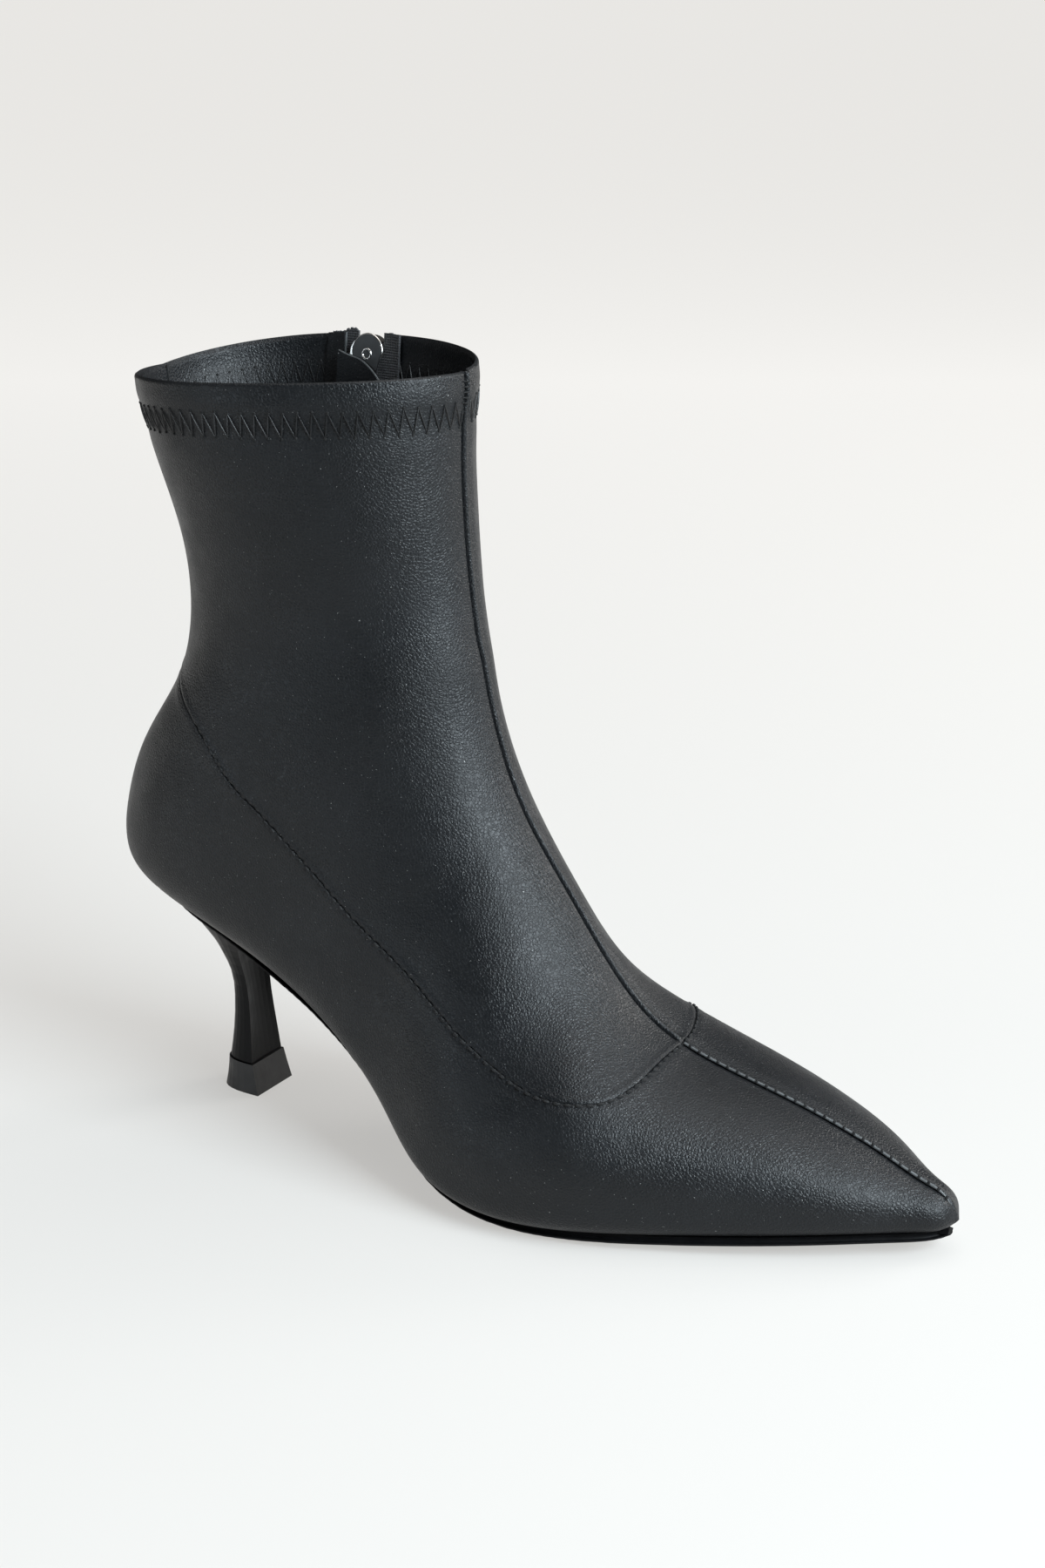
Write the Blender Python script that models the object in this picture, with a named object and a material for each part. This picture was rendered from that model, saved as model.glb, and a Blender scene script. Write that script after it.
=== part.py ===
"""Stiletto ankle bootie, right shoe, standing empty on its sole and heel.

Metres in the scene, +Z up, +X towards the toe, +Y towards the inner side of the foot.
The sizes and tables below are millimetres, with x from the back of the heel, y from the
middle of the heel and z from the floor; the finished model is moved so that its origin is
the middle of its footprint.

The last is a row of flat sections that fan from the toe, through the instep, up to the
collar. Each section runs from a front point on the crest of the boot to a back point under
the foot or behind the ankle, and is two half superellipses, one for each side. Every other
curved piece is the same surface, read again over a smaller patch and moved along its normal.
"""
import math

import bmesh
import bpy
import numpy as np
from mathutils import Matrix, Vector

MM = 0.001
GAP = 0.3

# The last: front point, back point, middle, half widths, and how square the section is
LAST_COLUMNS = ("front_x", "front_z", "back_x", "back_z", "middle_y",
                "outer_half", "inner_half", "widest_share", "crown", "base")
LAST_ROWS = (
    (249.9, 9.6, 249.0, 8.6, 4.7, 0.6, 1.0, 0.40, 2.0, 2.0),
    (248.2, 14.0, 247.3, 7.4, 4.7, 4.6, 5.2, 0.42, 2.0, 2.6),
    (241.7, 18.2, 241.8, 6.4, 4.4, 8.9, 9.9, 0.41, 2.0, 3.2),
    (228.6, 23.6, 230.0, 6.0, 3.7, 16.5, 19.8, 0.39, 2.1, 4.0),
    (209.1, 31.3, 210.4, 4.9, 2.4, 26.3, 30.8, 0.35, 2.3, 5.0),
    (185.8, 38.4, 187.4, 3.6, 0.9, 36.3, 38.8, 0.34, 2.4, 5.5),
    (166.2, 47.4, 163.5, 2.5, -1.0, 44.2, 41.0, 0.31, 2.3, 6.0),
    (151.4, 63.2, 138.2, 2.1, -2.2, 46.0, 38.0, 0.22, 1.75, 5.8),
    (138.3, 81.0, 115.0, 7.4, -1.7, 42.6, 33.8, 0.19, 1.8, 5.2),
    (126.2, 97.6, 97.6, 19.4, -0.7, 36.1, 32.0, 0.22, 1.95, 4.6),
    (117.7, 116.1, 76.0, 36.4, -0.2, 32.8, 29.8, 0.26, 1.95, 4.4),
    (113.6, 130.9, 50.8, 50.0, -0.2, 31.6, 29.3, 0.33, 2.0, 4.6),
    (111.5, 140.8, 21.8, 61.0, -0.2, 32.4, 30.9, 0.40, 2.1, 4.2),
    (109.9, 147.4, 1.5, 70.6, -0.2, 31.7, 31.4, 0.45, 2.2, 3.0),
    (108.6, 155.6, -2.4, 83.6, 0.0, 30.7, 31.6, 0.48, 2.15, 2.4),
    (107.7, 162.4, 2.2, 102.2, 0.1, 29.5, 31.2, 0.49, 2.15, 2.1),
    (106.9, 170.4, 15.0, 122.5, 0.1, 29.2, 31.0, 0.49, 2.1, 2.0),
    (106.3, 180.6, 21.8, 141.8, 0.0, 30.4, 31.3, 0.48, 2.05, 2.0),
    (105.9, 192.4, 20.9, 166.0, 0.0, 32.6, 32.9, 0.46, 2.0, 2.0),
    (106.4, 204.5, 13.1, 190.6, 0.0, 34.8, 35.4, 0.43, 2.0, 2.0),
    (107.0, 215.2, 8.4, 209.9, 0.0, 35.7, 38.0, 0.40, 1.95, 2.0),
)
# The collar's edge stands this much higher at the sides than at the front and back
COLLAR_RISE_OUTER = 0.5
COLLAR_RISE_INNER = 4.7
RISE_FROM_Z = 165.0
RISE_FULL_Z = 215.2

# The upper's wall, its folded hem, and the allowance turned in under the foot
WALL = 1.6
HEM_WALL = 2.0
HEM_DEPTH = 18.0
HEM_STEP = 1.5
LASTING_ALLOWANCE = 9.0
FEATHER_RISE = 1.5
FEATHER_SHARE = 0.05
TOE_WALL_SHARE = 0.022
TOE_WALL_REACH = 0.09

# The raised seam down the front: distance from the crest (inner side positive), and height
SEAM_ROWS = ((-1.6, 0.0), (-0.5, -0.35), (0.5, 0.65), (2.0, 1.0), (3.6, 0.6), (5.2, 0.0))
SEAM_NARROWS_BELOW = 60.0
SEAM_END_X = 164.0
SEAM_FADE = 14.0
SEAM_TOE_SHARE = 0.35

# The mesh: steps between two rows of the last, and columns on each side of a section
STEPS_PER_ROW = 2
SIDE_COLUMNS = 9
CORNER_COLUMNS = 6
UNDER_COLUMNS = 3
TURN_FROM_WIDTHS = 1.15
TURN_TO_WIDTHS = 0.72
LEAST_SIDE_SHARE = 0.4
LEAST_TURN_SHARE = 0.3

# The sole follows the last from the toe to the heel's back, flat where it treads
SOLE_THICKNESS = 2.2
SEAT_THICKNESS = 1.2
SEAT_FROM_X = 60.0
SEAT_FULL_X = 35.0
SOLE_END_X = 6.0
SOLE_END_SHORT = 0.02
SOLE_ROUND_X = 32.0
SOLE_GAP = 0.35
SEAT_GAP = 0.55
TOE_GAP_SHARE = 1.6
SOLE_COLUMNS = 12
SOLE_STATIONS = 28
SOLE_STATION_CROWDING = 1.5
SOLE_END_CLEARANCE = 1e-4
SOLE_TOE_SHARE = 0.007
SOLE_TIP_FROM_X = 241.0
SOLE_TIP_X = 247.0
END_SHARE = 0.97
SOLE_TOE_FROM_X = 225.0
SOLE_TOE_FULL_X = 240.0
SOLE_EDGE_OUT = 1.0
INSOLE_THICKNESS = 1.5
INSOLE_GAP = 0.4
INSOLE_SHARE = 0.86
INSOLE_END_SHORT = 8.0
INSOLE_TOE_SHARE = 0.05

# The heel: height, breast, back, half width, how square its back is, and the breast's hollow
HEEL_COLUMNS = ("z", "breast_x", "back_x", "half_width", "squareness", "hollow")
HEEL_ROWS = (
    (9.3, 36.3, 25.4, 7.3, 2.6, 0.3),
    (18.0, 35.6, 26.6, 6.4, 2.5, 0.5),
    (28.0, 34.7, 27.0, 5.6, 2.4, 0.8),
    (36.0, 33.9, 26.2, 6.2, 2.4, 1.2),
    (42.0, 33.8, 23.8, 8.2, 2.4, 1.6),
    (46.5, 35.0, 21.6, 10.6, 2.4, 1.8),
    (51.0, 38.0, 17.8, 13.6, 2.4, 1.8),
    (56.0, 41.5, 13.5, 16.2, 2.4, 1.6),
    (68.0, 45.0, 9.0, 17.5, 2.4, 1.0),
)
TIP_ROWS = (
    (0.0, 39.0, 23.8, 8.6, 2.9, 0.0),
    (3.0, 38.2, 24.4, 8.3, 2.8, 0.0),
    (9.0, 36.8, 25.0, 7.8, 2.7, 0.0),
)
HEEL_MIDDLE_Y = 0.6
HEEL_CUT_HALF = 26.0
HEEL_CUT_HEIGHT = 60.0
BREAST_COLUMNS = 6
BACK_COLUMNS = 16

# The zip stands upright in the inner side of the shaft
ZIP_X = 54.0
ZIP_BOTTOM_Z = 104.0
SLOT_HALF = 3.6
SLOT_HALF_TOP = 5.4
SLOT_MOUTH_BELOW_SLIDER = 1.0
SLOT_CUT_FROM_Y = 12.0
SLOT_CUT_TO_Y = 60.0
SLOT_CUT_TOP_Z = 240.0
WALL_STATIONS = 260
SLIDER_Z = 211.0
SLIDER_BELOW = 5.5
SLIDER_ABOVE = 5.0
TAPE_INNER_EDGE = 2.0
TAPE_HALF = 12.0
TAPE_THICKNESS = 0.7
TAPE_TOP = 1.5
TAPE_BELOW = 6.0
CHAIN_HALF = 2.8
CHAIN_THICKNESS = 1.5
CHAIN_IN_SLIDER = 2.0
TAPE_DEPTH = HEM_WALL + GAP
SLIDER_FOOT_SHARE = 0.72
SLIDER_SHOULDER = 3.5
PLATE_THICKNESS = 1.0
PLATE_HALF = 4.3
PLATE_STANDS_OUT = 1.0
PLATE_STANDS_IN = 0.8
CROWN_HALF = 1.7
CROWN_HEIGHT = 3.6
CROWN_THICKNESS = 0.9
CROWN_BELOW = 3.0
CROWN_ABOVE = 3.6
CROWN_IN_PLATE = 0.5
CROWN_WINDOW_IN_PLATE = 0.8
CROWN_LEG_SHARE = 0.45
POST_HALF = 1.6
POST_FOOT_BELOW_HEAD = 3.6
POST_TOP_BELOW_HEAD = 0.8
TAB_BAR_RADIUS = 0.6
TAB_BAR_GAP = 0.45
TAB_BAR_PLAY = 0.5
TAB_LENGTH = 21.0
TAB_HALF_TOP = 3.1
TAB_HALF_FOOT = 3.8
TAB_THICKNESS = 1.2
TAB_EYE_HALF = 2.2
TAB_EYE_LENGTH = 4.4
STOP_HEIGHT = 3.0
STOP_HALF = 3.0
STOP_ABOVE_SLOT = 1.0
STOP_STANDS_OUT = 0.4

# Colour, roughness and metallic value of each material
FINISHES = {
    "black_leather": ((0.022, 0.024, 0.026), 0.42, 0.0),
    "black_lining": ((0.030, 0.030, 0.031), 0.80, 0.0),
    "black_sole": ((0.018, 0.018, 0.019), 0.55, 0.0),
    "black_heel_cover": ((0.020, 0.021, 0.022), 0.38, 0.0),
    "black_top_piece": ((0.016, 0.016, 0.017), 0.50, 0.0),
    "black_tape": ((0.014, 0.014, 0.015), 0.85, 0.0),
    "black_teeth": ((0.020, 0.020, 0.021), 0.45, 0.0),
    "nickel": ((0.62, 0.61, 0.58), 0.25, 1.0),
}


def clear_scene():
    """Take away whatever the opened file holds."""
    for thing in list(bpy.data.objects):
        bpy.data.objects.remove(thing, do_unlink=True)


def collection(name):
    """A named collection in the scene."""
    group = bpy.data.collections.new(name)
    bpy.context.scene.collection.children.link(group)
    return group


def finish(name):
    """The Principled material of one finish, made once."""
    found = bpy.data.materials.get(name)
    if found:
        return found
    colour, roughness, metallic = FINISHES[name]
    material = bpy.data.materials.new(name)
    material.use_nodes = True
    shader = material.node_tree.nodes["Principled BSDF"]
    shader.inputs["Base Color"].default_value = (*colour, 1.0)
    shader.inputs["Roughness"].default_value = roughness
    shader.inputs["Metallic"].default_value = metallic
    material.diffuse_color = (*colour, 1.0)
    return material


def smoothstep(value, start, end):
    """0 before start, 1 after end, and an eased rise between them."""
    share = np.clip((value - start) / (end - start), 0.0, 1.0)
    return share * share * (3.0 - 2.0 * share)


def natural_spline(knots, values, where):
    """Natural cubic spline through the values at the knots, read at where."""
    knots = np.asarray(knots, float)
    values = np.asarray(values, float)
    step = np.diff(knots)
    count = len(knots)
    system = np.eye(count)
    right = np.zeros_like(values)
    for i in range(1, count - 1):
        system[i, i - 1:i + 2] = step[i - 1], 2.0 * (step[i - 1] + step[i]), step[i]
        right[i] = 6.0 * ((values[i + 1] - values[i]) / step[i] - (values[i] - values[i - 1]) / step[i - 1])
    bend = np.linalg.solve(system, right)
    k = np.clip(np.searchsorted(knots, where, "right") - 1, 0, count - 2)
    before = (where - knots[k])[:, None]
    after = (knots[k + 1] - where)[:, None]
    span = step[k][:, None]
    curved = (bend[k] * after ** 3 + bend[k + 1] * before ** 3) / (6.0 * span)
    near = (values[k] / span - bend[k] * span / 6.0) * after
    far = (values[k + 1] / span - bend[k + 1] * span / 6.0) * before
    return curved + near + far


def read_rows(columns, rows, knots, where):
    """The table's columns, splined over the knots and read at where."""
    return dict(zip(columns, natural_spline(knots, rows, where).T))


LAST_TABLE = np.array(LAST_ROWS)
FRONT_STEPS = np.hypot(*np.diff(LAST_TABLE[:, 0:2], axis=0).T)
BACK_STEPS = np.hypot(*np.diff(LAST_TABLE[:, 2:4], axis=0).T)
LAST_KNOTS = np.concatenate([[0.0], np.cumsum(FRONT_STEPS + BACK_STEPS)])
LAST_KNOTS = LAST_KNOTS / LAST_KNOTS[-1]


def half_section(row, side, samples=361):
    """One half of one section, from the front point down to the back point.

    The angle runs from 0 at the crest to pi at the back. The half width is |sin| to the
    power 2/n and the share of the height is |cos| to the power 2/n above and below the
    widest place, with n the crown or the base. Returns the points, the distance along
    them, and the height of each over the back point.
    """
    angle = np.linspace(0.0, math.pi, samples)
    upper_half = angle <= math.pi / 2
    power = np.where(upper_half, 2.0 / row["crown"], 2.0 / row["base"])
    width = row["inner_half"] if side > 0 else row["outer_half"]
    sine = np.clip(np.sin(angle), 0.0, 1.0)
    out = width * sine ** power
    wide = row["widest_share"]
    lift = np.abs(np.cos(angle)) ** power
    share = np.where(upper_half, wide + (1.0 - wide) * lift, wide - wide * lift)
    run_x = row["front_x"] - row["back_x"]
    run_z = row["front_z"] - row["back_z"]
    x = row["back_x"] + share * run_x
    z = row["back_z"] + share * run_z
    rise = COLLAR_RISE_INNER if side > 0 else COLLAR_RISE_OUTER
    z = z + rise * smoothstep(row["front_z"], RISE_FROM_Z, RISE_FULL_Z) * out / width
    points = np.stack([x, row["middle_y"] + side * out, z], axis=-1)
    along = np.concatenate([[0.0], np.cumsum(np.linalg.norm(np.diff(points, axis=0), axis=1))])
    return points, along, share * math.hypot(run_x, run_z)


class Section:
    """One section of the last, read by signed distance from its crest or from its back."""

    def __init__(self, row):
        self.row = row
        self.halves = {side: half_section(row, side) for side in (-1, 1)}

    def length(self, side):
        """Distance from the crest to the back point on one side."""
        return self.halves[side][1][-1]

    def at(self, side, distance):
        """Points on one side at distances from the crest."""
        points, along, _ = self.halves[side]
        return np.stack([np.interp(distance, along, points[:, k]) for k in range(3)], axis=-1)

    def feather(self, side):
        """Distance from the back point out to where the underside starts to turn up."""
        _, along, height = self.halves[side]
        rise = min(FEATHER_RISE, FEATHER_SHARE * height[0])
        turned = np.interp(rise, height[::-1], (along[-1] - along)[::-1])
        return turned * end_rounding(self.row["back_x"])


def end_rounding(x):
    """1 along the foot, and a quarter circle down to 0 at the sole's back end and its tip."""
    back = np.clip((SOLE_ROUND_X - x) / (SOLE_ROUND_X - SOLE_END_X), 0.0, END_SHARE)
    tip = np.clip((x - SOLE_TIP_FROM_X) / (SOLE_TIP_X - SOLE_TIP_FROM_X), 0.0, END_SHARE)
    return math.sqrt(1.0 - max(back, tip) ** 2)


def sections(shares):
    """The sections at these shares of the way from the toe to the collar."""
    table = read_rows(LAST_COLUMNS, LAST_TABLE, LAST_KNOTS, np.asarray(shares, float))
    return [Section({key: values[i] for key, values in table.items()}) for i in range(len(shares))]


def even_shares(steps):
    """The tables' own places with even steps between them."""
    parts = [np.linspace(a, b, steps, endpoint=False) for a, b in zip(LAST_KNOTS, LAST_KNOTS[1:])]
    return np.concatenate(parts + [[1.0]])


def grid_normals(grid):
    """Unit normals of a grid of points, which runs toe to collar and outer to inner side."""
    along = np.gradient(grid, axis=0)
    across = np.gradient(grid, axis=1)
    normal = np.cross(across, along)
    normal = normal / np.maximum(np.linalg.norm(normal, axis=2, keepdims=True), 1e-9)
    closed = np.linalg.norm(grid[:, 0] - grid[:, -1], axis=1) < 1e-6
    shared = normal[:, 0] + normal[:, -1]
    shared = shared / np.maximum(np.linalg.norm(shared, axis=1, keepdims=True), 1e-9)
    normal[closed, 0] = shared[closed]
    normal[closed, -1] = shared[closed]
    return normal


def side_distances(section, side, start, opening):
    """Distances from the crest for one side's columns: even down the side, close at the turn."""
    length = section.length(side)
    width = section.row["inner_half"] if side > 0 else section.row["outer_half"]
    turn_start = max(length - TURN_FROM_WIDTHS * width, start + LEAST_SIDE_SHARE * (length - start))
    turn_end = max(length - TURN_TO_WIDTHS * width, turn_start + LEAST_TURN_SHARE * (length - turn_start))
    down = np.linspace(start, turn_start, SIDE_COLUMNS + 1)[1:]
    turn = np.linspace(turn_start, turn_end, CORNER_COLUMNS)[1:]
    under = np.linspace(turn_end, length - opening, UNDER_COLUMNS + 1)[1:]
    return np.concatenate([down, turn, under])


def bottom_openings(shares):
    """How far the upper stays open under the foot, on the outer and the inner side."""
    return [[max(0.0, section.feather(side) - LASTING_ALLOWANCE) for side in (-1, 1)]
            for section in sections(shares)]


def upper_grid(shares, openings):
    """The last's skin, plain and with the raised seam, one row for each share."""
    rows = []
    heights = []
    seam = np.array(SEAM_ROWS)
    for section, opening in zip(sections(shares), openings):
        narrow = min(1.0, section.length(-1) / SEAM_NARROWS_BELOW)
        near = seam[:, 0] * narrow
        outer = side_distances(section, -1, -near[0], opening[0])
        inner = side_distances(section, 1, near[-1], opening[1])
        points = [section.at(-1, outer[::-1])]
        for distance in near:
            points.append(section.at(1 if distance > 0 else -1, np.array([abs(distance)])))
        points.append(section.at(1, inner))
        rows.append(np.concatenate(points))
        toe = smoothstep(section.row["front_x"], SEAM_END_X - SEAM_FADE / 2, SEAM_END_X + SEAM_FADE / 2)
        height = np.zeros(len(rows[-1]))
        lowered = narrow * (1.0 + (SEAM_TOE_SHARE - 1.0) * toe)
        height[len(outer):len(outer) + len(near)] = seam[:, 1] * lowered
        heights.append(height)
    grid = np.array(rows)
    normal = grid_normals(grid)
    return grid + normal * np.array(heights)[:, :, None], grid, normal


def mesh_object(name, vertices, faces, finish_name, group, smooth_angle=40.0):
    """A closed mesh in millimetres made into a named object, its doubles merged."""
    mesh = bpy.data.meshes.new(name)
    mesh.from_pydata([tuple(v) for v in np.asarray(vertices) * MM], [], [tuple(f) for f in faces])
    work = bmesh.new()
    work.from_mesh(mesh)
    bmesh.ops.remove_doubles(work, verts=work.verts, dist=0.002 * MM)
    bmesh.ops.dissolve_degenerate(work, edges=work.edges, dist=0.002 * MM)
    bmesh.ops.recalc_face_normals(work, faces=work.faces)
    if work.calc_volume(signed=True) < 0.0:
        bmesh.ops.reverse_faces(work, faces=work.faces)
    work.to_mesh(mesh)
    work.free()
    mesh.shade_smooth()
    mesh.set_sharp_from_angle(angle=math.radians(smooth_angle))
    mesh.materials.append(finish(finish_name))
    thing = bpy.data.objects.new(name, mesh)
    group.objects.link(thing)
    return thing


def grid_faces(start, rows, columns):
    """Quads of a grid whose points are numbered row by row from start."""
    faces = []
    for i in range(rows - 1):
        for j in range(columns - 1):
            a = start + i * columns + j
            faces.append((a, a + 1, a + columns + 1, a + columns))
    return faces


def slab(name, top, bottom, finish_name, group):
    """A closed sheet between two grids of points of one shape."""
    rows, columns, _ = top.shape
    count = rows * columns
    vertices = np.concatenate([top.reshape(-1, 3), bottom.reshape(-1, 3)])
    faces = grid_faces(0, rows, columns)
    faces += [tuple(reversed(face)) for face in grid_faces(count, rows, columns)]
    border = [i for i in range(columns)]
    border += [i * columns + columns - 1 for i in range(1, rows)]
    border += [(rows - 1) * columns + j for j in range(columns - 2, -1, -1)]
    border += [i * columns for i in range(rows - 2, 0, -1)]
    for a, b in zip(border, border[1:] + border[:1]):
        faces.append((b, a, a + count, b + count))
    return mesh_object(name, vertices, faces, finish_name, group)


def build_upper(group):
    """The upper and shaft: one hollow wall, open at the collar and under the foot."""
    shares = even_shares(STEPS_PER_ROW)
    openings = bottom_openings(shares)
    outer, _, _ = upper_grid(shares, openings)
    start = np.clip(1.0 - shares / TOE_WALL_REACH, 0.0, 1.0)
    inner_shares = shares + TOE_WALL_SHARE * start ** 2
    _, base, normal = upper_grid(inner_shares, openings)
    below_rim = base[-1:, :, 2] - base[:, :, 2]
    hem = 1.0 - smoothstep(below_rim, HEM_DEPTH, HEM_DEPTH + HEM_STEP)
    wall = WALL + (HEM_WALL - WALL) * hem
    inner = base - normal * wall[:, :, None]
    rows, columns, _ = outer.shape
    count = rows * columns
    vertices = np.concatenate([outer.reshape(-1, 3), inner.reshape(-1, 3)])
    faces = grid_faces(0, rows, columns)
    faces += [tuple(reversed(face)) for face in grid_faces(count, rows, columns)]
    last_row = (rows - 1) * columns
    for j in range(columns - 1):
        a = last_row + j
        faces.append((a, a + 1, a + 1 + count, a + count))
    faces.append(tuple(range(columns - 1)))
    faces.append(tuple(range(count + columns - 2, count - 1, -1)))
    open_row = np.linalg.norm(outer[:, 0] - outer[:, -1], axis=1) > 1e-6
    for i in range(rows - 1):
        if open_row[i] or open_row[i + 1]:
            for column in (0, columns - 1):
                a = i * columns + column
                b = a + columns
                faces.append((a, b, b + count, a + count))
    return mesh_object("upper", vertices, faces, "black_leather", group)


def underside(shares, reach, depth, edge_out=0.0, tread=False):
    """A patch of the last's underside moved out by depth (into the boot where negative).

    reach gives the half width from the middle line for each section and side, and edge_out
    carries the two edges on sideways, past where the last turns up. With tread the points
    stop at the floor, which leaves the flat place that the shoe stands on.
    """
    across = np.sin(np.linspace(-0.5, 0.5, SOLE_COLUMNS + 1) * math.pi)
    rows = []
    for section in sections(shares):
        halves = []
        for side in (-1, 1):
            mine = across[across * side > 0] if side > 0 else across[across < 0]
            distance = section.length(side) - np.abs(mine) * reach(section, side)
            halves.append(section.at(side, distance))
        middle = section.at(1, np.array([section.length(1)]))
        rows.append(np.concatenate([halves[0], middle, halves[1]]))
    grid = np.array(rows)
    along = np.gradient(grid, axis=0)
    beside = np.gradient(grid, axis=1)
    normal = np.cross(along, beside)
    normal = normal / np.maximum(np.linalg.norm(normal, axis=2, keepdims=True), 1e-9)
    moved = grid + normal * np.asarray(depth)[..., None]
    moved[:, 0, 1] -= edge_out
    moved[:, -1, 1] += edge_out
    if tread:
        moved[:, :, 2] = np.maximum(moved[:, :, 2], 0.0)
    return moved


def sole_shares(end_x, toe_share):
    """Places along the last from near the toe to where its back point reaches end_x."""
    dense = np.linspace(0.0, 1.0, 2001)
    table = read_rows(LAST_COLUMNS, LAST_TABLE, LAST_KNOTS, dense)
    reached = dense[np.argmax(table["back_x"] < end_x)]
    steps = np.linspace(0.0, 1.0, SOLE_STATIONS)
    end = reached - SOLE_END_CLEARANCE
    return toe_share + (end - toe_share) * (1.0 - (1.0 - steps) ** SOLE_STATION_CROWDING)


def build_outsole(group):
    """The thin outsole under the whole last, with its flat tread and its thinner seat."""
    shares = sole_shares(SOLE_END_X + SOLE_END_SHORT, SOLE_TOE_SHARE)
    table = read_rows(LAST_COLUMNS, LAST_TABLE, LAST_KNOTS, shares)
    seat = 1.0 - smoothstep(table["back_x"], SEAT_FULL_X, SEAT_FROM_X)
    thick = SOLE_THICKNESS + (SEAT_THICKNESS - SOLE_THICKNESS) * seat
    depth = np.repeat(thick[:, None], SOLE_COLUMNS + 1, axis=1)

    def reach(section, side):
        return section.feather(side)

    edge_out = SOLE_EDGE_OUT * np.array([end_rounding(x) for x in table["back_x"]])
    toe = smoothstep(table["back_x"], SOLE_TOE_FROM_X, SOLE_TOE_FULL_X)
    gap = SOLE_GAP + (SEAT_GAP - SOLE_GAP) * np.maximum(seat, TOE_GAP_SHARE * toe)
    gap = np.broadcast_to(gap[:, None], depth.shape)
    top = underside(shares, reach, gap, edge_out)
    bottom = underside(shares, reach, gap + depth, edge_out, tread=True)
    slab("outsole", top, bottom, "black_sole", group)


def build_insole(group):
    """The insole board and its cover, lying on the turned-in edge of the upper."""
    shares = sole_shares(SOLE_END_X + INSOLE_END_SHORT, INSOLE_TOE_SHARE)

    def reach(section, side):
        return section.feather(side) * INSOLE_SHARE

    flat = np.ones((len(shares), SOLE_COLUMNS + 1))
    low = underside(shares, reach, -(WALL + INSOLE_GAP) * flat)
    high = underside(shares, reach, -(WALL + INSOLE_GAP + INSOLE_THICKNESS) * flat)
    return slab("insole", high, low, "black_lining", group)


def heel_ring(row):
    """One level of the heel: a hollowed flat breast in front and a rounded back.

    The back is a superellipse quarter on each side, x from the breast to the back point
    and y from the half width to the middle.
    """
    side = np.linspace(-1.0, 1.0, BREAST_COLUMNS + 1)
    breast_x = row["breast_x"] - row["hollow"] * (1.0 - side ** 2)
    breast = np.stack([breast_x, side * row["half_width"]], axis=-1)
    angle = np.linspace(0.0, math.pi, BACK_COLUMNS + 1)[1:-1]
    power = 2.0 / row["squareness"]
    back_x = row["breast_x"] - (row["breast_x"] - row["back_x"]) * np.sin(angle) ** power
    back_y = row["half_width"] * np.sign(np.cos(angle)) * np.abs(np.cos(angle)) ** power
    back = np.stack([back_x, back_y], axis=-1)
    ring = np.concatenate([breast, back])
    height = np.full((len(ring), 1), row["z"])
    return np.concatenate([ring[:, :1], ring[:, 1:] + HEEL_MIDDLE_Y, height], axis=1)


def stacked_solid(name, rows, steps, finish_name, group):
    """A closed solid through level rings, the table's rows splined by height."""
    table = np.array(rows)
    between = zip(table[:, 0], table[1:, 0])
    levels = np.concatenate([np.linspace(a, b, steps, endpoint=False) for a, b in between] + [table[-1:, 0]])
    read = read_rows(HEEL_COLUMNS, table, table[:, 0], levels)
    rings = [heel_ring({key: values[i] for key, values in read.items()}) for i in range(len(levels))]
    size = len(rings[0])
    faces = []
    for i in range(len(rings) - 1):
        for j in range(size):
            a = i * size + j
            b = i * size + (j + 1) % size
            faces.append((a, b, b + size, a + size))
    top = (len(rings) - 1) * size
    faces.append(tuple(range(size)))
    faces.append(tuple(range(top + size - 1, top - 1, -1)))
    return mesh_object(name, np.concatenate(rings), faces, finish_name, group, smooth_angle=35.0)


def cut(thing, cutter, operation="DIFFERENCE"):
    """A Boolean modifier, and the cutter shown as wire and left out of the model."""
    step = thing.modifiers.new(cutter.name, "BOOLEAN")
    step.operation = operation
    step.object = cutter
    step.solver = "EXACT"
    cutter.hide_render = True
    cutter.display_type = "WIRE"


def apply_modifiers(thing):
    """Keep the evaluated mesh, so that cutters need not follow the moved model."""
    depsgraph = bpy.context.evaluated_depsgraph_get()
    mesh = bpy.data.meshes.new_from_object(thing.evaluated_get(depsgraph))
    thing.modifiers.clear()
    old = thing.data
    thing.data = mesh
    bpy.data.meshes.remove(old)
    mesh.name = thing.name


def build_heel(group, cutters):
    """The slim covered heel, cut off on top along the underside of the sole."""
    heel = stacked_solid("heel", HEEL_ROWS, 2, "black_heel_cover", group)
    shares = sole_shares(0.0, LAST_KNOTS[9])

    def reach(section, side):
        return HEEL_CUT_HALF

    depth = np.full((len(shares), SOLE_COLUMNS + 1), SEAT_GAP + SEAT_THICKNESS + GAP)
    low = underside(shares, reach, depth)
    high = low + np.array([0.0, 0.0, HEEL_CUT_HEIGHT])
    block = slab("heel_top_cutter", high, low, "black_sole", cutters)
    cut(heel, block)
    apply_modifiers(heel)
    return heel


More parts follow.
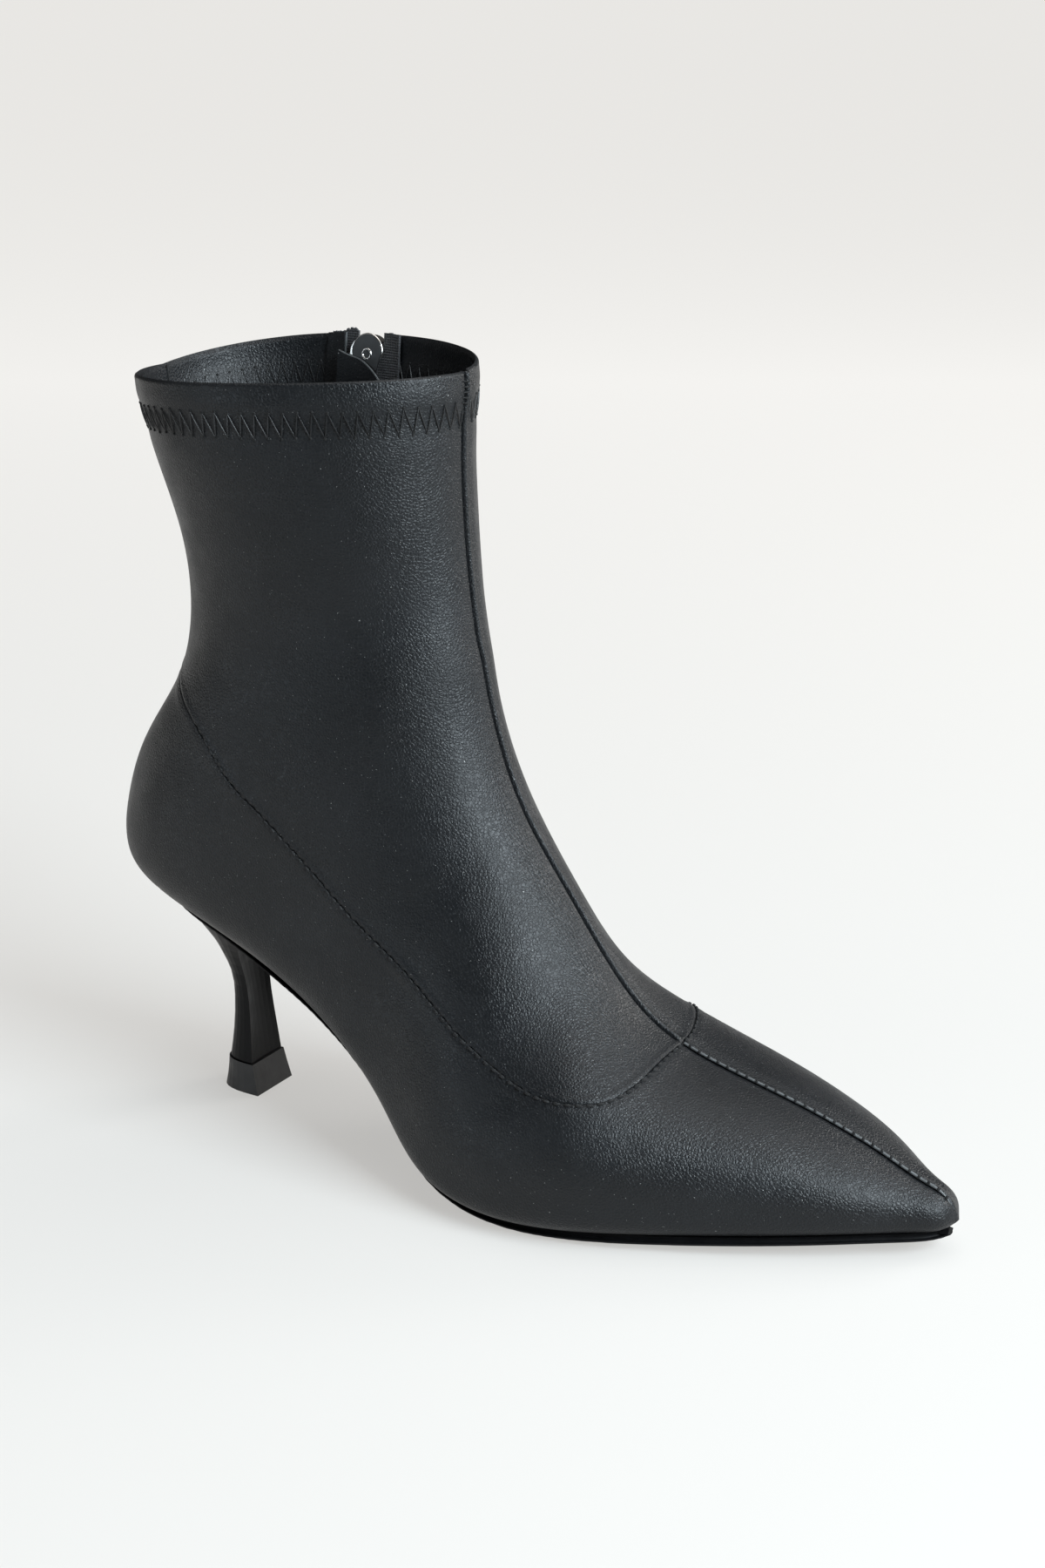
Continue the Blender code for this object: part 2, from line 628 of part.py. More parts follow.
def inner_wall(offsets, heights):
    """Points and outward normals of the inner side of the shaft.

    offsets are distances along X from the zip's line and heights are levels; every section
    is read where it crosses each upright plane, and the crossings are read by height.
    """
    shares = np.linspace(LAST_KNOTS[9], 1.0, WALL_STATIONS)
    halves = [section.halves[1][0] for section in sections(shares)]
    grid = np.array(halves)
    normal = np.cross(np.gradient(grid, axis=1), np.gradient(grid, axis=0))
    normal = normal / np.maximum(np.linalg.norm(normal, axis=2, keepdims=True), 1e-9)
    points = np.zeros((len(heights), len(offsets), 3))
    normals = np.zeros_like(points)
    for j, offset in enumerate(offsets):
        x = ZIP_X + offset
        both = np.concatenate([grid, normal], axis=2)
        crossing = np.array([[np.interp(-x, -row[:, 0], row[:, k]) for k in range(6)] for row in both])
        for k in range(3):
            points[:, j, k] = np.interp(heights, crossing[:, 2], crossing[:, k])
            normals[:, j, k] = np.interp(heights, crossing[:, 2], crossing[:, k + 3])
    points[:, :, 2] = np.asarray(heights)[:, None]
    return points, normals / np.linalg.norm(normals, axis=2, keepdims=True)


def wall_sheet(name, offsets, heights, near, far, finish_name, group):
    """A closed sheet along the inner wall, between two depths below its outer surface."""
    points, normals = inner_wall(offsets, heights)
    return slab(name, points - normals * near, points - normals * far, finish_name, group)


def box_cutter(name, low, high, group):
    """A box between two corners in millimetres."""
    work = bmesh.new()
    bmesh.ops.create_cube(work, size=1.0)
    size = Vector(high) - Vector(low)
    middle = (Vector(high) + Vector(low)) / 2.0
    matrix = Matrix.Translation(middle * MM) @ Matrix.Diagonal((*(size * MM), 1.0))
    bmesh.ops.transform(work, matrix=matrix, verts=work.verts)
    mesh = bpy.data.meshes.new(name)
    work.to_mesh(mesh)
    work.free()
    thing = bpy.data.objects.new(name, mesh)
    group.objects.link(thing)
    return thing


def cut_zip_slot(upper, cutters):
    """The upright slot for the zip, wider at the top around the slider."""
    low_slot = box_cutter("zip_slot_cutter", (ZIP_X - SLOT_HALF, SLOT_CUT_FROM_Y, ZIP_BOTTOM_Z),
                          (ZIP_X + SLOT_HALF, SLOT_CUT_TO_Y, SLIDER_Z), cutters)
    mouth_z = SLIDER_Z - SLIDER_BELOW - SLOT_MOUTH_BELOW_SLIDER
    top_slot = box_cutter("zip_mouth_cutter", (ZIP_X - SLOT_HALF_TOP, SLOT_CUT_FROM_Y, mouth_z),
                          (ZIP_X + SLOT_HALF_TOP, SLOT_CUT_TO_Y, SLOT_CUT_TOP_Z), cutters)
    cut(upper, low_slot)
    cut(upper, top_slot)
    apply_modifiers(upper)


def build_zip(group):
    """The two tapes, the closed row of teeth and the stop at its foot."""
    rim = collar_height()
    heights = np.linspace(ZIP_BOTTOM_Z - TAPE_BELOW, rim + TAPE_TOP, 15)
    for name, side in (("zip_tape_front", 1.0), ("zip_tape_back", -1.0)):
        offsets = np.sort(side * np.linspace(TAPE_INNER_EDGE, TAPE_HALF, 5))
        wall_sheet(name, offsets, heights, TAPE_DEPTH, TAPE_DEPTH + TAPE_THICKNESS, "black_tape", group)
    far = TAPE_DEPTH - GAP
    near = far - CHAIN_THICKNESS
    teeth_top = SLIDER_Z - SLIDER_BELOW + CHAIN_IN_SLIDER
    stop_foot = ZIP_BOTTOM_Z + STOP_ABOVE_SLOT
    heights = np.linspace(stop_foot + STOP_HEIGHT + GAP, teeth_top, 14)
    offsets = np.linspace(-CHAIN_HALF, CHAIN_HALF, 5)
    wall_sheet("zip_chain", offsets, heights, near, far, "black_teeth", group)
    heights = np.linspace(stop_foot, stop_foot + STOP_HEIGHT, 2)
    offsets = np.linspace(-STOP_HALF, STOP_HALF, 3)
    wall_sheet("zip_bottom_stop", offsets, heights, near - STOP_STANDS_OUT, far, "nickel", group)


def collar_height():
    """Height of the collar's edge where the zip meets it."""
    points = sections([1.0])[0].halves[1][0]
    return float(np.interp(-ZIP_X, -points[:, 0], points[:, 2]))


def slider_frame():
    """The slider's place: X along the shoe, Y out of the wall and Z up the zip, in mm."""
    points, normals = inner_wall([0.0], np.array([SLIDER_Z]))
    out = Vector((0.0, normals[0, 0, 1], normals[0, 0, 2])).normalized()
    right = Vector((1.0, 0.0, 0.0))
    up = right.cross(out)
    matrix = Matrix((right, out, up)).transposed().to_4x4()
    return Matrix.Translation(Vector(points[0, 0]) * MM) @ matrix


def flat_outline(name, outlines, half_thickness):
    """A filled 2D curve extruded to both sides of its plane, made a mesh."""
    curve = bpy.data.curves.new(name, "CURVE")
    curve.dimensions = "2D"
    curve.fill_mode = "BOTH"
    curve.extrude = half_thickness * MM
    for outline in outlines:
        spline = curve.splines.new("POLY")
        spline.points.add(len(outline) - 1)
        for point, (a, b) in zip(spline.points, outline):
            point.co = (a * MM, b * MM, 0.0, 1.0)
        spline.use_cyclic_u = True
    holder = bpy.data.objects.new(name + "_outline", curve)
    bpy.context.scene.collection.objects.link(holder)
    depsgraph = bpy.context.evaluated_depsgraph_get()
    mesh = bpy.data.meshes.new_from_object(holder.evaluated_get(depsgraph))
    bpy.data.objects.remove(holder, do_unlink=True)
    bpy.data.curves.remove(curve)
    work = bmesh.new()
    work.from_mesh(mesh)
    bmesh.ops.remove_doubles(work, verts=work.verts, dist=0.002 * MM)
    bmesh.ops.recalc_face_normals(work, faces=work.faces)
    work.to_mesh(mesh)
    work.free()
    mesh.name = name
    return mesh


def arc(middle, radius, start, end, count):
    """Points on an arc, angles in degrees."""
    angles = np.radians(np.linspace(start, end, count))
    return [(middle[0] + radius * math.cos(a), middle[1] + radius * math.sin(a)) for a in angles]


def plate_outline(half, below, above):
    """A slider plate seen from outside: narrow foot, full shoulders and a round head."""
    foot = half * SLIDER_FOOT_SHARE
    head = arc((0.0, above - half), half, 0.0, 180.0, 13)
    shoulder = -below + SLIDER_SHOULDER
    return [(-foot, -below), (foot, -below), (half, shoulder)] + head + [(-half, shoulder)]


def placed(mesh, matrix, name, finish_name, group):
    """An object of this mesh with the matrix put into its points."""
    mesh.transform(matrix)
    mesh.name = name
    mesh.materials.clear()
    mesh.materials.append(finish(finish_name))
    thing = bpy.data.objects.new(name, mesh)
    group.objects.link(thing)
    return thing


def build_slider(group, cutters):
    """The slider: an inside plate, an outside plate, the post between them and the crown."""
    frame = slider_frame()
    face_out = Matrix.Rotation(math.radians(90.0), 4, "X")
    outside = PLATE_STANDS_OUT + PLATE_THICKNESS / 2.0
    inside = -(TAPE_DEPTH + TAPE_THICKNESS + PLATE_STANDS_IN + PLATE_THICKNESS / 2.0)
    outline = plate_outline(PLATE_HALF, SLIDER_BELOW, SLIDER_ABOVE)
    plates = []
    for name, depth in (("slider_outside_plate", outside), ("slider_inside_plate", inside)):
        mesh = flat_outline(name, [outline], PLATE_THICKNESS / 2.0)
        move = Matrix.Translation((0.0, depth * MM, 0.0))
        plates.append(placed(mesh, frame @ move @ face_out, name, "nickel", cutters))
    post = box_cutter("slider_post", (-POST_HALF, inside, SLIDER_ABOVE - POST_FOOT_BELOW_HEAD),
                      (POST_HALF, outside, SLIDER_ABOVE - POST_TOP_BELOW_HEAD), cutters)
    post.data.transform(frame)
    base = PLATE_STANDS_OUT + PLATE_THICKNESS * CROWN_IN_PLATE
    top = PLATE_STANDS_OUT + PLATE_THICKNESS + CROWN_HEIGHT
    outer = [(-CROWN_BELOW, base)] + crown_arc(CROWN_BELOW, CROWN_ABOVE, base, top) + [(CROWN_ABOVE, base)]
    window_base = PLATE_STANDS_OUT + PLATE_THICKNESS * CROWN_WINDOW_IN_PLATE
    window_below = CROWN_BELOW - CROWN_THICKNESS
    window_above = CROWN_ABOVE - CROWN_THICKNESS
    inner = [(-window_below, window_base)]
    inner += crown_arc(window_below, window_above, window_base, top - CROWN_THICKNESS)
    inner += [(window_above, window_base)]
    crown_mesh = flat_outline("slider_crown", [outer, inner], CROWN_HALF)
    turn = Matrix(((0.0, 0.0, 1.0, 0.0), (0.0, 1.0, 0.0, 0.0), (1.0, 0.0, 0.0, 0.0), (0.0, 0.0, 0.0, 1.0)))
    crown = placed(crown_mesh, frame @ turn, "slider_crown", "nickel", cutters)
    crown.data.flip_normals()
    slider = plates[0].copy()
    slider.data = plates[0].data.copy()
    slider.name = "zip_slider"
    slider.data.name = "zip_slider"
    group.objects.link(slider)
    for piece in (plates[1], post, crown):
        cut(slider, piece, "UNION")
    plates[0].hide_render = True
    plates[0].display_type = "WIRE"
    apply_modifiers(slider)
    slider.data.shade_smooth()
    slider.data.set_sharp_from_angle(angle=math.radians(35.0))
    return slider


def crown_arc(below, above, base, top):
    """The crown's back: half an ellipse between its two feet, stood on short legs."""
    leg = base + CROWN_LEG_SHARE * (top - base)
    middle = (above - below) / 2.0
    half = (above + below) / 2.0
    angles = np.linspace(math.pi, 0.0, 15)
    return [(middle + half * math.cos(a), leg + (top - leg) * math.sin(a)) for a in angles]


def tab_axis():
    """The pull tab's axis, under the crown and just outside the plate, in metres."""
    lift = PLATE_STANDS_OUT + PLATE_THICKNESS + TAB_BAR_GAP + TAB_BAR_RADIUS + TAB_BAR_PLAY
    middle = (CROWN_ABOVE - CROWN_BELOW) / 2.0
    return slider_frame() @ Vector((0.0, lift * MM, middle * MM))


def build_pull_tab(group, cutters):
    """The pull tab: a flat tongue with an eye, its round top bar lying under the crown."""
    foot = arc((0.0, -TAB_LENGTH + TAB_HALF_FOOT), TAB_HALF_FOOT, 180.0, 360.0, 13)
    outline = [(-TAB_HALF_TOP, 0.0)] + foot + [(TAB_HALF_TOP, 0.0), (TAB_EYE_HALF, 0.0)]
    outline += [(TAB_EYE_HALF, -TAB_EYE_LENGTH), (-TAB_EYE_HALF, -TAB_EYE_LENGTH), (-TAB_EYE_HALF, 0.0)]
    upright = Matrix.Rotation(math.radians(90.0), 4, "X")
    flat = flat_outline("pull_tab", [outline], TAB_THICKNESS / 2.0)
    tab = placed(flat, upright, "pull_tab", "nickel", group)
    work = bmesh.new()
    bmesh.ops.create_cone(work, cap_ends=True, segments=16, radius1=TAB_BAR_RADIUS * MM,
                          radius2=TAB_BAR_RADIUS * MM, depth=2.0 * TAB_HALF_TOP * MM)
    bar_mesh = bpy.data.meshes.new("pull_tab_bar")
    work.to_mesh(bar_mesh)
    work.free()
    bar = placed(bar_mesh, Matrix.Rotation(math.radians(90.0), 4, "Y"), "pull_tab_bar", "nickel", cutters)
    cut(tab, bar, "UNION")
    apply_modifiers(tab)
    tab.data.shade_smooth()
    tab.data.set_sharp_from_angle(angle=math.radians(35.0))
    tab.location = tab_axis()
    return tab


def main():
    """Build every piece, then move the model so that its footprint's middle is the origin."""
    clear_scene()
    group = collection("stiletto_ankle_bootie")
    cutters = collection("cutters")
    upper = build_upper(group)
    cut_zip_slot(upper, cutters)
    build_outsole(group)
    build_insole(group)
    build_heel(group, cutters)
    stacked_solid("heel_tip", TIP_ROWS, 2, "black_top_piece", group)
    build_zip(group)
    build_slider(group, cutters)
    tab = build_pull_tab(group, cutters)
    centre_on_footprint(group, tab)


def centre_on_footprint(group, tab):
    """Shift the points of the still pieces, and the tab's place, to the footprint's middle."""
    bpy.context.view_layer.update()
    low = Vector((1e9, 1e9, 1e9))
    high = -low
    for thing in group.objects:
        for vertex in thing.data.vertices:
            place = thing.matrix_world @ vertex.co
            low = Vector(map(min, low, place))
            high = Vector(map(max, high, place))
    shift = Vector((-(low.x + high.x) / 2.0, -(low.y + high.y) / 2.0, -low.z))
    for thing in group.objects:
        if thing is tab:
            thing.location = thing.location + shift
        else:
            thing.data.transform(Matrix.Translation(shift))
    print("shift", [round(v, 6) for v in shift], "box", [round(v, 5) for v in high - low])


main()
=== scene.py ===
"""The look of a black stiletto ankle bootie, a right shoe.

Lengths are in millimetres in the last's own frame: x from the back of the heel to the toe, y to the
inner side, z up from the floor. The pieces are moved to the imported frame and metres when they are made.
"""
import math

import bmesh
import bpy
import numpy as np
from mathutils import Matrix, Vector


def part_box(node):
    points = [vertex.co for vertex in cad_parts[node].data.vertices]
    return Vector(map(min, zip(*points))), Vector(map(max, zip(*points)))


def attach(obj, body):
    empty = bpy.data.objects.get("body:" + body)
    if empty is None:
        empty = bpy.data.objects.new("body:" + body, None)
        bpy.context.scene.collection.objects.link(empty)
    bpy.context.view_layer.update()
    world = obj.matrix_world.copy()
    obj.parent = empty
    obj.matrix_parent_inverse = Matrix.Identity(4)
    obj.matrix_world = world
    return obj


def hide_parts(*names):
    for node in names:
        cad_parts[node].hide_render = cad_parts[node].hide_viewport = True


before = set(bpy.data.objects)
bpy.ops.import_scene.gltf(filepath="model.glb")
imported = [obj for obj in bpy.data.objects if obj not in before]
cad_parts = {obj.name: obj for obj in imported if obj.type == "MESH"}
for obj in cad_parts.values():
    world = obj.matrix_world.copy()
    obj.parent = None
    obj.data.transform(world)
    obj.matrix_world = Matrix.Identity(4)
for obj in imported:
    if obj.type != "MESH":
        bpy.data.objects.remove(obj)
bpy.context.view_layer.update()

MM = 0.001
TIP_LOW_CORNER = np.array([23.8, -8.0, 0.0])
SHIFT = np.array(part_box("heel_tip")[0]) / MM - TIP_LOW_CORNER
SHIFT[2] = 0.0

# Camera, at the photograph's angle
CAMERA_PLACE = (0.32206, -0.54870, 0.31181)
CAMERA_TURN = 30.2758
CAMERA_PITCH = 17.7594
CAMERA_LENS = 57.984

# The last: front or crest point, back or underside point, middle, half widths, share of the widest
# place, fullness above and below it
LAST_ROWS = np.array((
    (249.9, 9.6, 249.0, 8.6, 4.7, 0.6, 1.0, 0.40, 2.0, 2.0),
    (248.2, 14.0, 247.3, 7.4, 4.7, 4.6, 5.2, 0.42, 2.0, 2.6),
    (241.7, 18.2, 241.8, 6.4, 4.4, 8.9, 9.9, 0.41, 2.0, 3.2),
    (228.6, 23.6, 230.0, 6.0, 3.7, 16.5, 19.8, 0.39, 2.1, 4.0),
    (209.1, 31.3, 210.4, 4.9, 2.4, 26.3, 30.8, 0.35, 2.3, 5.0),
    (185.8, 38.4, 187.4, 3.6, 0.9, 36.3, 38.8, 0.34, 2.4, 5.5),
    (166.2, 47.4, 163.5, 2.5, -1.0, 44.2, 41.0, 0.31, 2.3, 6.0),
    (151.4, 63.2, 138.2, 2.1, -2.2, 46.0, 38.0, 0.22, 1.75, 5.8),
    (138.3, 81.0, 115.0, 7.4, -1.7, 42.6, 33.8, 0.19, 1.8, 5.2),
    (126.2, 97.6, 97.6, 19.4, -0.7, 36.1, 32.0, 0.22, 1.95, 4.6),
    (117.7, 116.1, 76.0, 36.4, -0.2, 32.8, 29.8, 0.26, 1.95, 4.4),
    (113.6, 130.9, 50.8, 50.0, -0.2, 31.6, 29.3, 0.33, 2.0, 4.6),
    (111.5, 140.8, 21.8, 61.0, -0.2, 32.4, 30.9, 0.40, 2.1, 4.2),
    (109.9, 147.4, 1.5, 70.6, -0.2, 31.7, 31.4, 0.45, 2.2, 3.0),
    (108.6, 155.6, -2.4, 83.6, 0.0, 30.7, 31.6, 0.48, 2.15, 2.4),
    (107.7, 162.4, 2.2, 102.2, 0.1, 29.5, 31.2, 0.49, 2.15, 2.1),
    (106.9, 170.4, 15.0, 122.5, 0.1, 29.2, 31.0, 0.49, 2.1, 2.0),
    (106.3, 180.6, 21.8, 141.8, 0.0, 30.4, 31.3, 0.48, 2.05, 2.0),
    (105.9, 192.4, 20.9, 166.0, 0.0, 32.6, 32.9, 0.46, 2.0, 2.0),
    (106.4, 204.5, 13.1, 190.6, 0.0, 34.8, 35.4, 0.43, 2.0, 2.0),
    (107.0, 215.2, 8.4, 209.9, 0.0, 35.7, 38.0, 0.40, 1.95, 2.0)))
RISE_FROM_Z = 165.0
RISE_FULL_Z = 215.2
TOE_X = 250.0
TABLE_ROWS = 1001
TABLE_COLUMNS = 401
TABLE_SHARES = np.linspace(0.0, 1.0, TABLE_ROWS)
TABLE_TURNS = np.linspace(0.0, 1.0, TABLE_COLUMNS)

OUTER = -1
INNER = 1
COLLAR_RISE = {OUTER: 0.5, INNER: 4.7}


def smoothstep(value, low, high):
    """0 below low, 1 above high, and the cubic 3s^2 - 2s^3 of the share between."""
    share = np.clip((value - low) / (high - low), 0.0, 1.0)
    return share * share * (3.0 - 2.0 * share)


def bump(value, middle, half_width):
    """A round hill of height 1: cosine squared across its width, 0 beyond it."""
    share = np.clip(np.abs(value - middle) / half_width, 0.0, 1.0)
    return np.cos(share * math.pi / 2) ** 2


def natural_spline(knots, values, places):
    """The natural cubic spline through values at the knots, read at places: its second derivatives
    solve the usual three-term system and are 0 at both ends."""
    count = len(knots)
    step = np.diff(knots)
    system = np.eye(count)
    right = np.zeros_like(values)
    for row in range(1, count - 1):
        system[row, row - 1:row + 2] = step[row - 1], 2 * (step[row - 1] + step[row]), step[row]
        right[row] = 6 * ((values[row + 1] - values[row]) / step[row]
                          - (values[row] - values[row - 1]) / step[row - 1])
    bend = np.linalg.solve(system, right)
    index = np.clip(np.searchsorted(knots, places, "right") - 1, 0, count - 2)
    before = (places - knots[index])[:, None]
    after = (knots[index + 1] - places)[:, None]
    span = step[index][:, None]
    cubic = (bend[index] * after ** 3 + bend[index + 1] * before ** 3) / (6 * span)
    return (cubic + (values[index] / span - bend[index] * span / 6) * after
            + (values[index + 1] / span - bend[index + 1] * span / 6) * before)


def run_lengths(lines):
    """Length so far along each line of points, 0 at its first point."""
    steps = np.linalg.norm(np.diff(lines, axis=-2), axis=-1)
    return np.concatenate([np.zeros(steps.shape[:-1] + (1,)), np.cumsum(steps, axis=-1)], axis=-1)


def read_along(places, lengths, values):
    """Each column of values, known at the lengths, read at places."""
    return np.stack([np.interp(places, lengths, column) for column in values.T], axis=-1)


def last_table(side):
    """One side of the last as a table of points: rows are shares of the way from toe to collar, and
    columns equal steps of the section's length from its front point to its back point. A section is
    two half superellipses: out = half width x sin^power, along = widest share +- the rest x |cos|^power,
    with power 2 / fullness; its collar end rises with the width."""
    knots = run_lengths(LAST_ROWS[:, 0:2]) + run_lengths(LAST_ROWS[:, 2:4])
    values = natural_spline(knots / knots[-1], LAST_ROWS, TABLE_SHARES)[:, :, None]
    front_x, front_z, back_x, back_z, middle, outer, inner, wide, crown, base = np.swapaxes(values, 0, 1)
    angle = np.linspace(0.0, math.pi, TABLE_COLUMNS)[None]
    above = angle <= math.pi / 2
    power = np.where(above, 2 / crown, 2 / base)
    width = inner if side == INNER else outer
    out = width * np.clip(np.sin(angle), 0.0, 1.0) ** power
    lift = np.abs(np.cos(angle)) ** power
    along = np.where(above, wide + (1 - wide) * lift, wide - wide * lift)
    rise = COLLAR_RISE[side] * smoothstep(front_z, RISE_FROM_Z, RISE_FULL_Z) * out / width
    points = np.stack([back_x + along * (front_x - back_x), middle + side * out,
                       back_z + along * (front_z - back_z) + rise], axis=-1)
    lengths = run_lengths(points)
    even = [read_along(TABLE_TURNS * length[-1], length, line) for length, line in zip(lengths, points)]
    return np.stack(even), lengths[:, -1]


LAST = {side: last_table(side) for side in (OUTER, INNER)}


def grid_read(table, row, column):
    """A value of a table at rows and columns in between, linear between its four neighbours."""
    row_index = np.minimum(row.astype(int), table.shape[0] - 2)
    column_index = np.minimum(column.astype(int), table.shape[1] - 2)
    down, across = row - row_index, column - column_index
    if table.ndim == 3:
        down, across = down[..., None], across[..., None]
    upper = table[row_index, column_index] * (1 - across) + table[row_index, column_index + 1] * across
    row_index = row_index + 1
    lower = table[row_index, column_index] * (1 - across) + table[row_index, column_index + 1] * across
    return upper * (1 - down) + lower * down


def last_point(shares, turns):
    """Points on the last at signed turns: below 0 on the outer side, above 0 on the inner."""
    turns = np.asarray(turns, float)
    shares = np.broadcast_to(np.asarray(shares, float), turns.shape)
    row = np.clip(shares, 0.0, 1.0) * (TABLE_ROWS - 1)
    column = np.minimum(np.abs(turns), 1.0) * (TABLE_COLUMNS - 1)
    outer, inner = (grid_read(LAST[side][0], row, column) for side in (OUTER, INNER))
    return np.where((turns < 0)[..., None], outer, inner)


def section_length(shares, side):
    """Length of the section's line on one side, from crest to back, at each share."""
    return np.interp(shares, TABLE_SHARES, LAST[side][1])


NORMAL_STEP_SHARE = 0.004
NORMAL_STEP_TURN = 0.01
RIM_FROM_SHARE = 0.6


def last_normal(shares, turns):
    """Outward normal of the last: the cross product of its differences along share and turn. A step of
    the turn that would pass the crest or the back is read on the other side."""
    turns = np.asarray(turns, float)
    shares = np.broadcast_to(np.asarray(shares, float), turns.shape)

    def wrapped(value):
        return np.where(value > 1, value - 2, np.where(value < -1, value + 2, value))

    along = (last_point(np.clip(shares + NORMAL_STEP_SHARE, 0, 1), turns)
             - last_point(np.clip(shares - NORMAL_STEP_SHARE, 0, 1), turns))
    around = (last_point(shares, wrapped(turns + NORMAL_STEP_TURN))
              - last_point(shares, wrapped(turns - NORMAL_STEP_TURN)))
    normal = np.cross(around, along)
    return normal / np.maximum(np.linalg.norm(normal, axis=-1, keepdims=True), 1e-9)


def crest_distance(shares, turns):
    """Signed length over the surface from the crest line, negative on the outer side."""
    outer = turns * section_length(shares, OUTER)
    inner = turns * section_length(shares, INNER)
    return np.where(turns < 0, outer, inner)


def upright_lines(turns, shares):
    """A line of points on the last for each turn, through all the shares."""
    return last_point(np.tile(shares, (len(turns), 1)), np.tile(np.asarray(turns)[:, None], len(shares)))


def column_shares(turns, depths):
    """Shares of the points that lie the given lengths below the collar's edge, along lines of constant
    turn: the lengths are summed down each line and read backwards."""
    shares = np.linspace(1.0, RIM_FROM_SHARE, 220)
    lines = upright_lines(turns, shares)
    return np.array([np.interp(depth, length, shares) for depth, length in zip(depths, run_lengths(lines))])


# Making meshes
def grid_quads(rows, columns, keep=None):
    """The four corners of each cell of a grid; keep says which cells stay."""
    index = np.arange(rows * columns).reshape(rows, columns)
    cells = np.stack([index[:-1, :-1], index[:-1, 1:], index[1:, 1:], index[1:, :-1]], axis=-1)
    return cells.reshape(-1, 4) if keep is None else cells[keep]


WELD = 1e-3


def welded(points, quads):
    """Points that coincide become one, and unused points go: returns the points kept and the faces."""
    _, first, back = np.unique(np.round(points / WELD).astype(np.int64), axis=0,
                               return_index=True, return_inverse=True)
    quads = back.reshape(-1)[quads]
    corners = quads.shape[1]
    used, quads = np.unique(quads, return_inverse=True)
    return first[used], quads.reshape(-1, corners)


def face_normals(points, faces):
    """Normal of each point: the sum of its faces' cross products of diagonals or sides, made one long."""
    corners = np.swapaxes(points[faces], 0, 1)
    if len(corners) == 4:
        across = np.cross(corners[2] - corners[0], corners[3] - corners[1])
    else:
        across = np.cross(corners[1] - corners[0], corners[2] - corners[0])
    return unit(np.stack([np.bincount(faces.ravel(), np.repeat(part, len(corners)), len(points))
                          for part in across.T], axis=1))


def thickened(points, depth, quads):
    """A closed sheet: the outer face, the same moved inwards by depth along the normal, and faces round
    every open edge, which are the edges that only one face has."""
    chosen, quads = welded(points, quads)
    outer = points[chosen]
    inner = outer - face_normals(outer, quads) * np.broadcast_to(depth, len(points))[chosen][:, None]
    count = len(outer)
    start = quads.ravel()
    end = np.roll(quads, -1, axis=1).ravel()
    key = start * count + end
    alone = ~np.isin(key, end * count + start) & (start != end)
    rim = np.stack([end[alone], start[alone], start[alone] + count, end[alone] + count], axis=1)
    if quads.shape[1] == 3:
        rim = np.concatenate([rim[:, :3], rim[:, [0, 2, 3]]])
    return np.concatenate([outer, inner]), np.concatenate([quads, quads[:, ::-1] + count, rim])


def sheet(grid, depth):
    """A closed sheet from a grid of points, with the side outside from which rows to columns turns
    clockwise."""
    return thickened(grid.reshape(-1, 3), depth, grid_quads(*grid.shape[:2])[:, ::-1])


def clean_faces(faces):
    """Faces as lists, with a corner that comes twice in a row left out once."""
    faces = faces.tolist() if isinstance(faces, np.ndarray) else faces
    faces = ([corner for place, corner in enumerate(face) if corner != face[place - 1]] for face in faces)
    return [face for face in faces if len(face) > 2]


SHARP_ANGLE = math.radians(42)


def piece(name, points, faces, material, solids):
    """A finished piece on the boot: points in the last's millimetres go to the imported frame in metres."""
    mesh = bpy.data.meshes.new(name)
    placed = (np.asarray(points, float).reshape(-1, 3) + SHIFT) * MM
    mesh.from_pydata(placed.tolist(), [], clean_faces(faces))
    mesh.validate()
    mesh.shade_smooth()
    mesh.set_sharp_from_angle(angle=SHARP_ANGLE)
    mesh.materials.append(material)
    made = bpy.data.objects.new(name, mesh)
    bpy.context.scene.collection.objects.link(made)
    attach(made, "boot")
    if solids:
        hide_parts(*solids)


def joined(parts):
    """Several (points, faces) as one."""
    points, faces, count = [], [], 0
    for part_points, part_faces in parts:
        part_points = np.asarray(part_points).reshape(-1, 3)
        points.append(part_points)
        faces += [[corner + count for corner in face] for face in clean_faces(part_faces)]
        count += len(part_points)
    return np.concatenate(points), faces


def unit(vectors):
    """Each vector made one long."""
    return vectors / np.maximum(np.linalg.norm(vectors, axis=-1, keepdims=True), 1e-9)


def ring_quads(index):
    """Faces between rings of corners that follow one another."""
    turned = np.roll(index, -1, axis=-1)
    sides = (index[..., :-1, :], index[..., 1:, :], turned[..., 1:, :], turned[..., :-1, :])
    return np.stack(sides, axis=-1).reshape(-1, 4).tolist()


def round_frame(along, up, sides):
    """Directions of a ring's corners in the planes across the given ways: cos x sideways + sin x over."""
    across = unit(np.cross(along, np.broadcast_to(up, along.shape)))
    over = unit(np.cross(across, along))
    angle = np.linspace(0.0, 2 * math.pi, sides, endpoint=False)[:, None]
    return np.cos(angle) * across[:, None] + np.sin(angle) * over[:, None]


def tube(path, radii, up, sides=8, closed=False):
    """A round cord along a path: at each point a ring of the given radius in the plane across the path;
    up says where its corners start, and closed joins its ends. Open ends get a cap."""
    path = np.asarray(path, float)
    along = np.roll(path, -1, axis=0) - np.roll(path, 1, axis=0) if closed else np.gradient(path, axis=0)
    radii = np.broadcast_to(radii, len(path))[:, None, None]
    rings = path[:, None] + radii * round_frame(unit(along), up, sides)
    index = np.arange(len(path) * sides).reshape(len(path), sides)
    caps = [] if closed else [index[0].tolist(), index[-1][::-1].tolist()]
    if closed:
        index = np.concatenate([index, index[:1]])
    return rings.reshape(-1, 3), ring_quads(index) + caps


